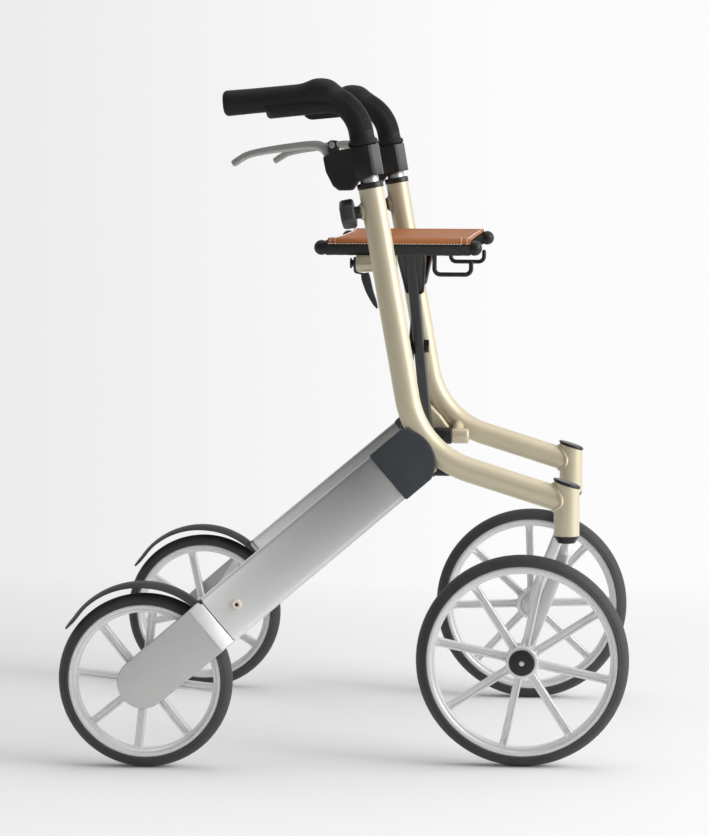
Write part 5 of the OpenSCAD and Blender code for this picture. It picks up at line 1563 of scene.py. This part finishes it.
    @staticmethod
    def paper(base, wall_shaded_left, wall_lit_right):
        """Pale paper: lit on the floor near the object, painted dark as painted shade on the floor towards the viewer,
        and further back and far from the object, for the eye and in reflections, glowing with painted light that runs
        from painted shade at the left to a painted lit side at the right.
        """
        material, nodes, links, shader, where = new_material("backdrop_paper")
        slow = noise(nodes, links, where, 1.2, 2.0)
        shader.inputs["Roughness"].default_value = 0.9
        shader.inputs["Specular IOR Level"].default_value = 0.1
        place = nodes.new("ShaderNodeSeparateXYZ")
        links.new(where, place.inputs["Vector"])
        # Painted shade: the floor towards the viewer, from 1.2 m in front and darkest beyond 2.6 m, is painted dark,
        # down to 0.15 of its colour, to stand for a dim room in reflections.
        near = spread(nodes, links, place.outputs["Y"], 0.0, 1.0, -2.6, -1.2)
        light = tint(nodes, links, slow, shade(base, 0.99), shade(base, 1.01))
        front = nodes.new("ShaderNodeMix")
        front.data_type = "RGBA"
        front.inputs["A"].default_value = (*shade(base, 0.15), 1.0)
        links.new(light, front.inputs["B"])
        links.new(near, front.inputs["Factor"])
        links.new(front.outputs["Result"], shader.inputs["Base Color"])
        # Painted light: a glow, though the backdrop is no lamp, darker at the left and brighter at the right as if lit
        # by the key lamp.
        glow = nodes.new("ShaderNodeEmission")
        aside = sums(nodes, links, "SUBTRACT", place.outputs["X"], 0.3)
        ahead = sums(nodes, links, "MAXIMUM", sums(nodes, links, "ADD", place.outputs["Y"], 4.03), 3.3)
        fan = sums(nodes, links, "DIVIDE", aside, ahead)
        links.new(tint(nodes, links, spread(nodes, links, fan, 0.0, 1.0, -0.193, -0.031), wall_shaded_left, wall_lit_right),
                  glow.inputs["Color"])
        path = nodes.new("ShaderNodeLightPath")
        seen = path.outputs["Is Camera Ray"]
        for ray in ("Is Glossy Ray", "Is Transmission Ray"):
            seen = sums(nodes, links, "MAXIMUM", seen, path.outputs[ray])
        depth = spread(nodes, links, place.outputs["Y"], 0.0, 1.0, 0.38, 1.35)
        behind = sums(nodes, links, "MULTIPLY", seen, depth)
        reach = nodes.new("ShaderNodeVectorMath")
        reach.operation = "LENGTH"
        links.new(where, reach.inputs[0])
        outside = sums(nodes, links, "MULTIPLY", path.outputs["Is Camera Ray"],
                       spread(nodes, links, reach.outputs["Value"], 0.0, 1.0, 1.3, 2.4))
        mix = nodes.new("ShaderNodeMixShader")
        links.new(sums(nodes, links, "MAXIMUM", behind, outside), mix.inputs["Fac"])
        links.new(shader.outputs["BSDF"], mix.inputs[1])
        links.new(glow.outputs["Emission"], mix.inputs[2])
        links.new(mix.outputs["Shader"], nodes["Material Output"].inputs["Surface"])
        return material

    @staticmethod
    def sky(scene):
        """Soft light from all around, bright ahead and to the right, dim on the viewer's side."""
        world = bpy.data.worlds.new("studio")
        scene.world = world
        world.use_nodes = True
        nodes, links = world.node_tree.nodes, world.node_tree.links
        facing = nodes.new("ShaderNodeVectorMath")
        facing.operation = "DOT_PRODUCT"
        facing.inputs[1].default_value = Vector((0.50, 0.75, 0.30)).normalized()
        links.new(nodes.new("ShaderNodeTexCoord").outputs["Generated"], facing.inputs[0])
        background = nodes["Background"]
        background.inputs["Color"].default_value = (1.0, 1.0, 1.0, 1.0)
        light = spread(nodes, links, facing.outputs["Value"], 0.235, 0.85, -0.7, 0.8)
        pale = sums(nodes, links, "MULTIPLY", nodes.new("ShaderNodeLightPath").outputs["Is Camera Ray"], 0.93)
        links.new(sums(nodes, links, "MAXIMUM", light, pale), background.inputs["Strength"])

    @staticmethod
    def lamp(name, place, aim, size, power):
        """A square soft lamp."""
        lamp = bpy.data.objects.new(name, bpy.data.lights.new(name, "AREA"))
        lamp.data.size = size
        lamp.data.energy = power
        lamp.location = place
        lamp.rotation_euler = (Vector(aim) - Vector(place)).to_track_quat("-Z", "Y").to_euler()
        bpy.context.scene.collection.objects.link(lamp)


STEPS = (ROLLATOR_OT_camera, ROLLATOR_OT_frame_finishes, ROLLATOR_OT_tyres, ROLLATOR_OT_rims, ROLLATOR_OT_hub_caps,
         ROLLATOR_OT_mudguards, ROLLATOR_OT_beams, ROLLATOR_OT_rear_forks, ROLLATOR_OT_side_frames,
         ROLLATOR_OT_front_forks, ROLLATOR_OT_grips, ROLLATOR_OT_brakes, ROLLATOR_OT_knobs, ROLLATOR_OT_seat_arms,
         ROLLATOR_OT_seat, ROLLATOR_OT_stage)


class ROLLATOR_PT_panel(bpy.types.Panel):
    """Steps of the rollator, in order"""
    bl_idname = "ROLLATOR_PT_panel"
    bl_label = "Rollator"
    bl_space_type = "VIEW_3D"
    bl_region_type = "UI"
    bl_category = "Rollator"

    def draw(self, context):
        for step in STEPS:
            self.layout.operator(step.bl_idname)
        for group in (context.scene.rollator_sizes, context.scene.rollator_colours):
            for name in group.__annotations__:
                self.layout.prop(group, name)


CLASSES = (RollatorSizes, RollatorColours) + STEPS + (ROLLATOR_PT_panel,)


def register():
    """Registers the classes and the settings."""
    for entry in CLASSES:
        bpy.utils.register_class(entry)
    bpy.types.Scene.rollator_sizes = bpy.props.PointerProperty(type=RollatorSizes)
    bpy.types.Scene.rollator_colours = bpy.props.PointerProperty(type=RollatorColours)


def unregister():
    """Takes the settings and the classes away again."""
    del bpy.types.Scene.rollator_colours
    del bpy.types.Scene.rollator_sizes
    for entry in reversed(CLASSES):
        bpy.utils.unregister_class(entry)


def main():
    """Builds the dressed rollator step by step."""
    register()
    for step in STEPS:
        group, name = step.bl_idname.split(".")
        getattr(getattr(bpy.ops, group), name)()


if __name__ == "__main__":
    main()
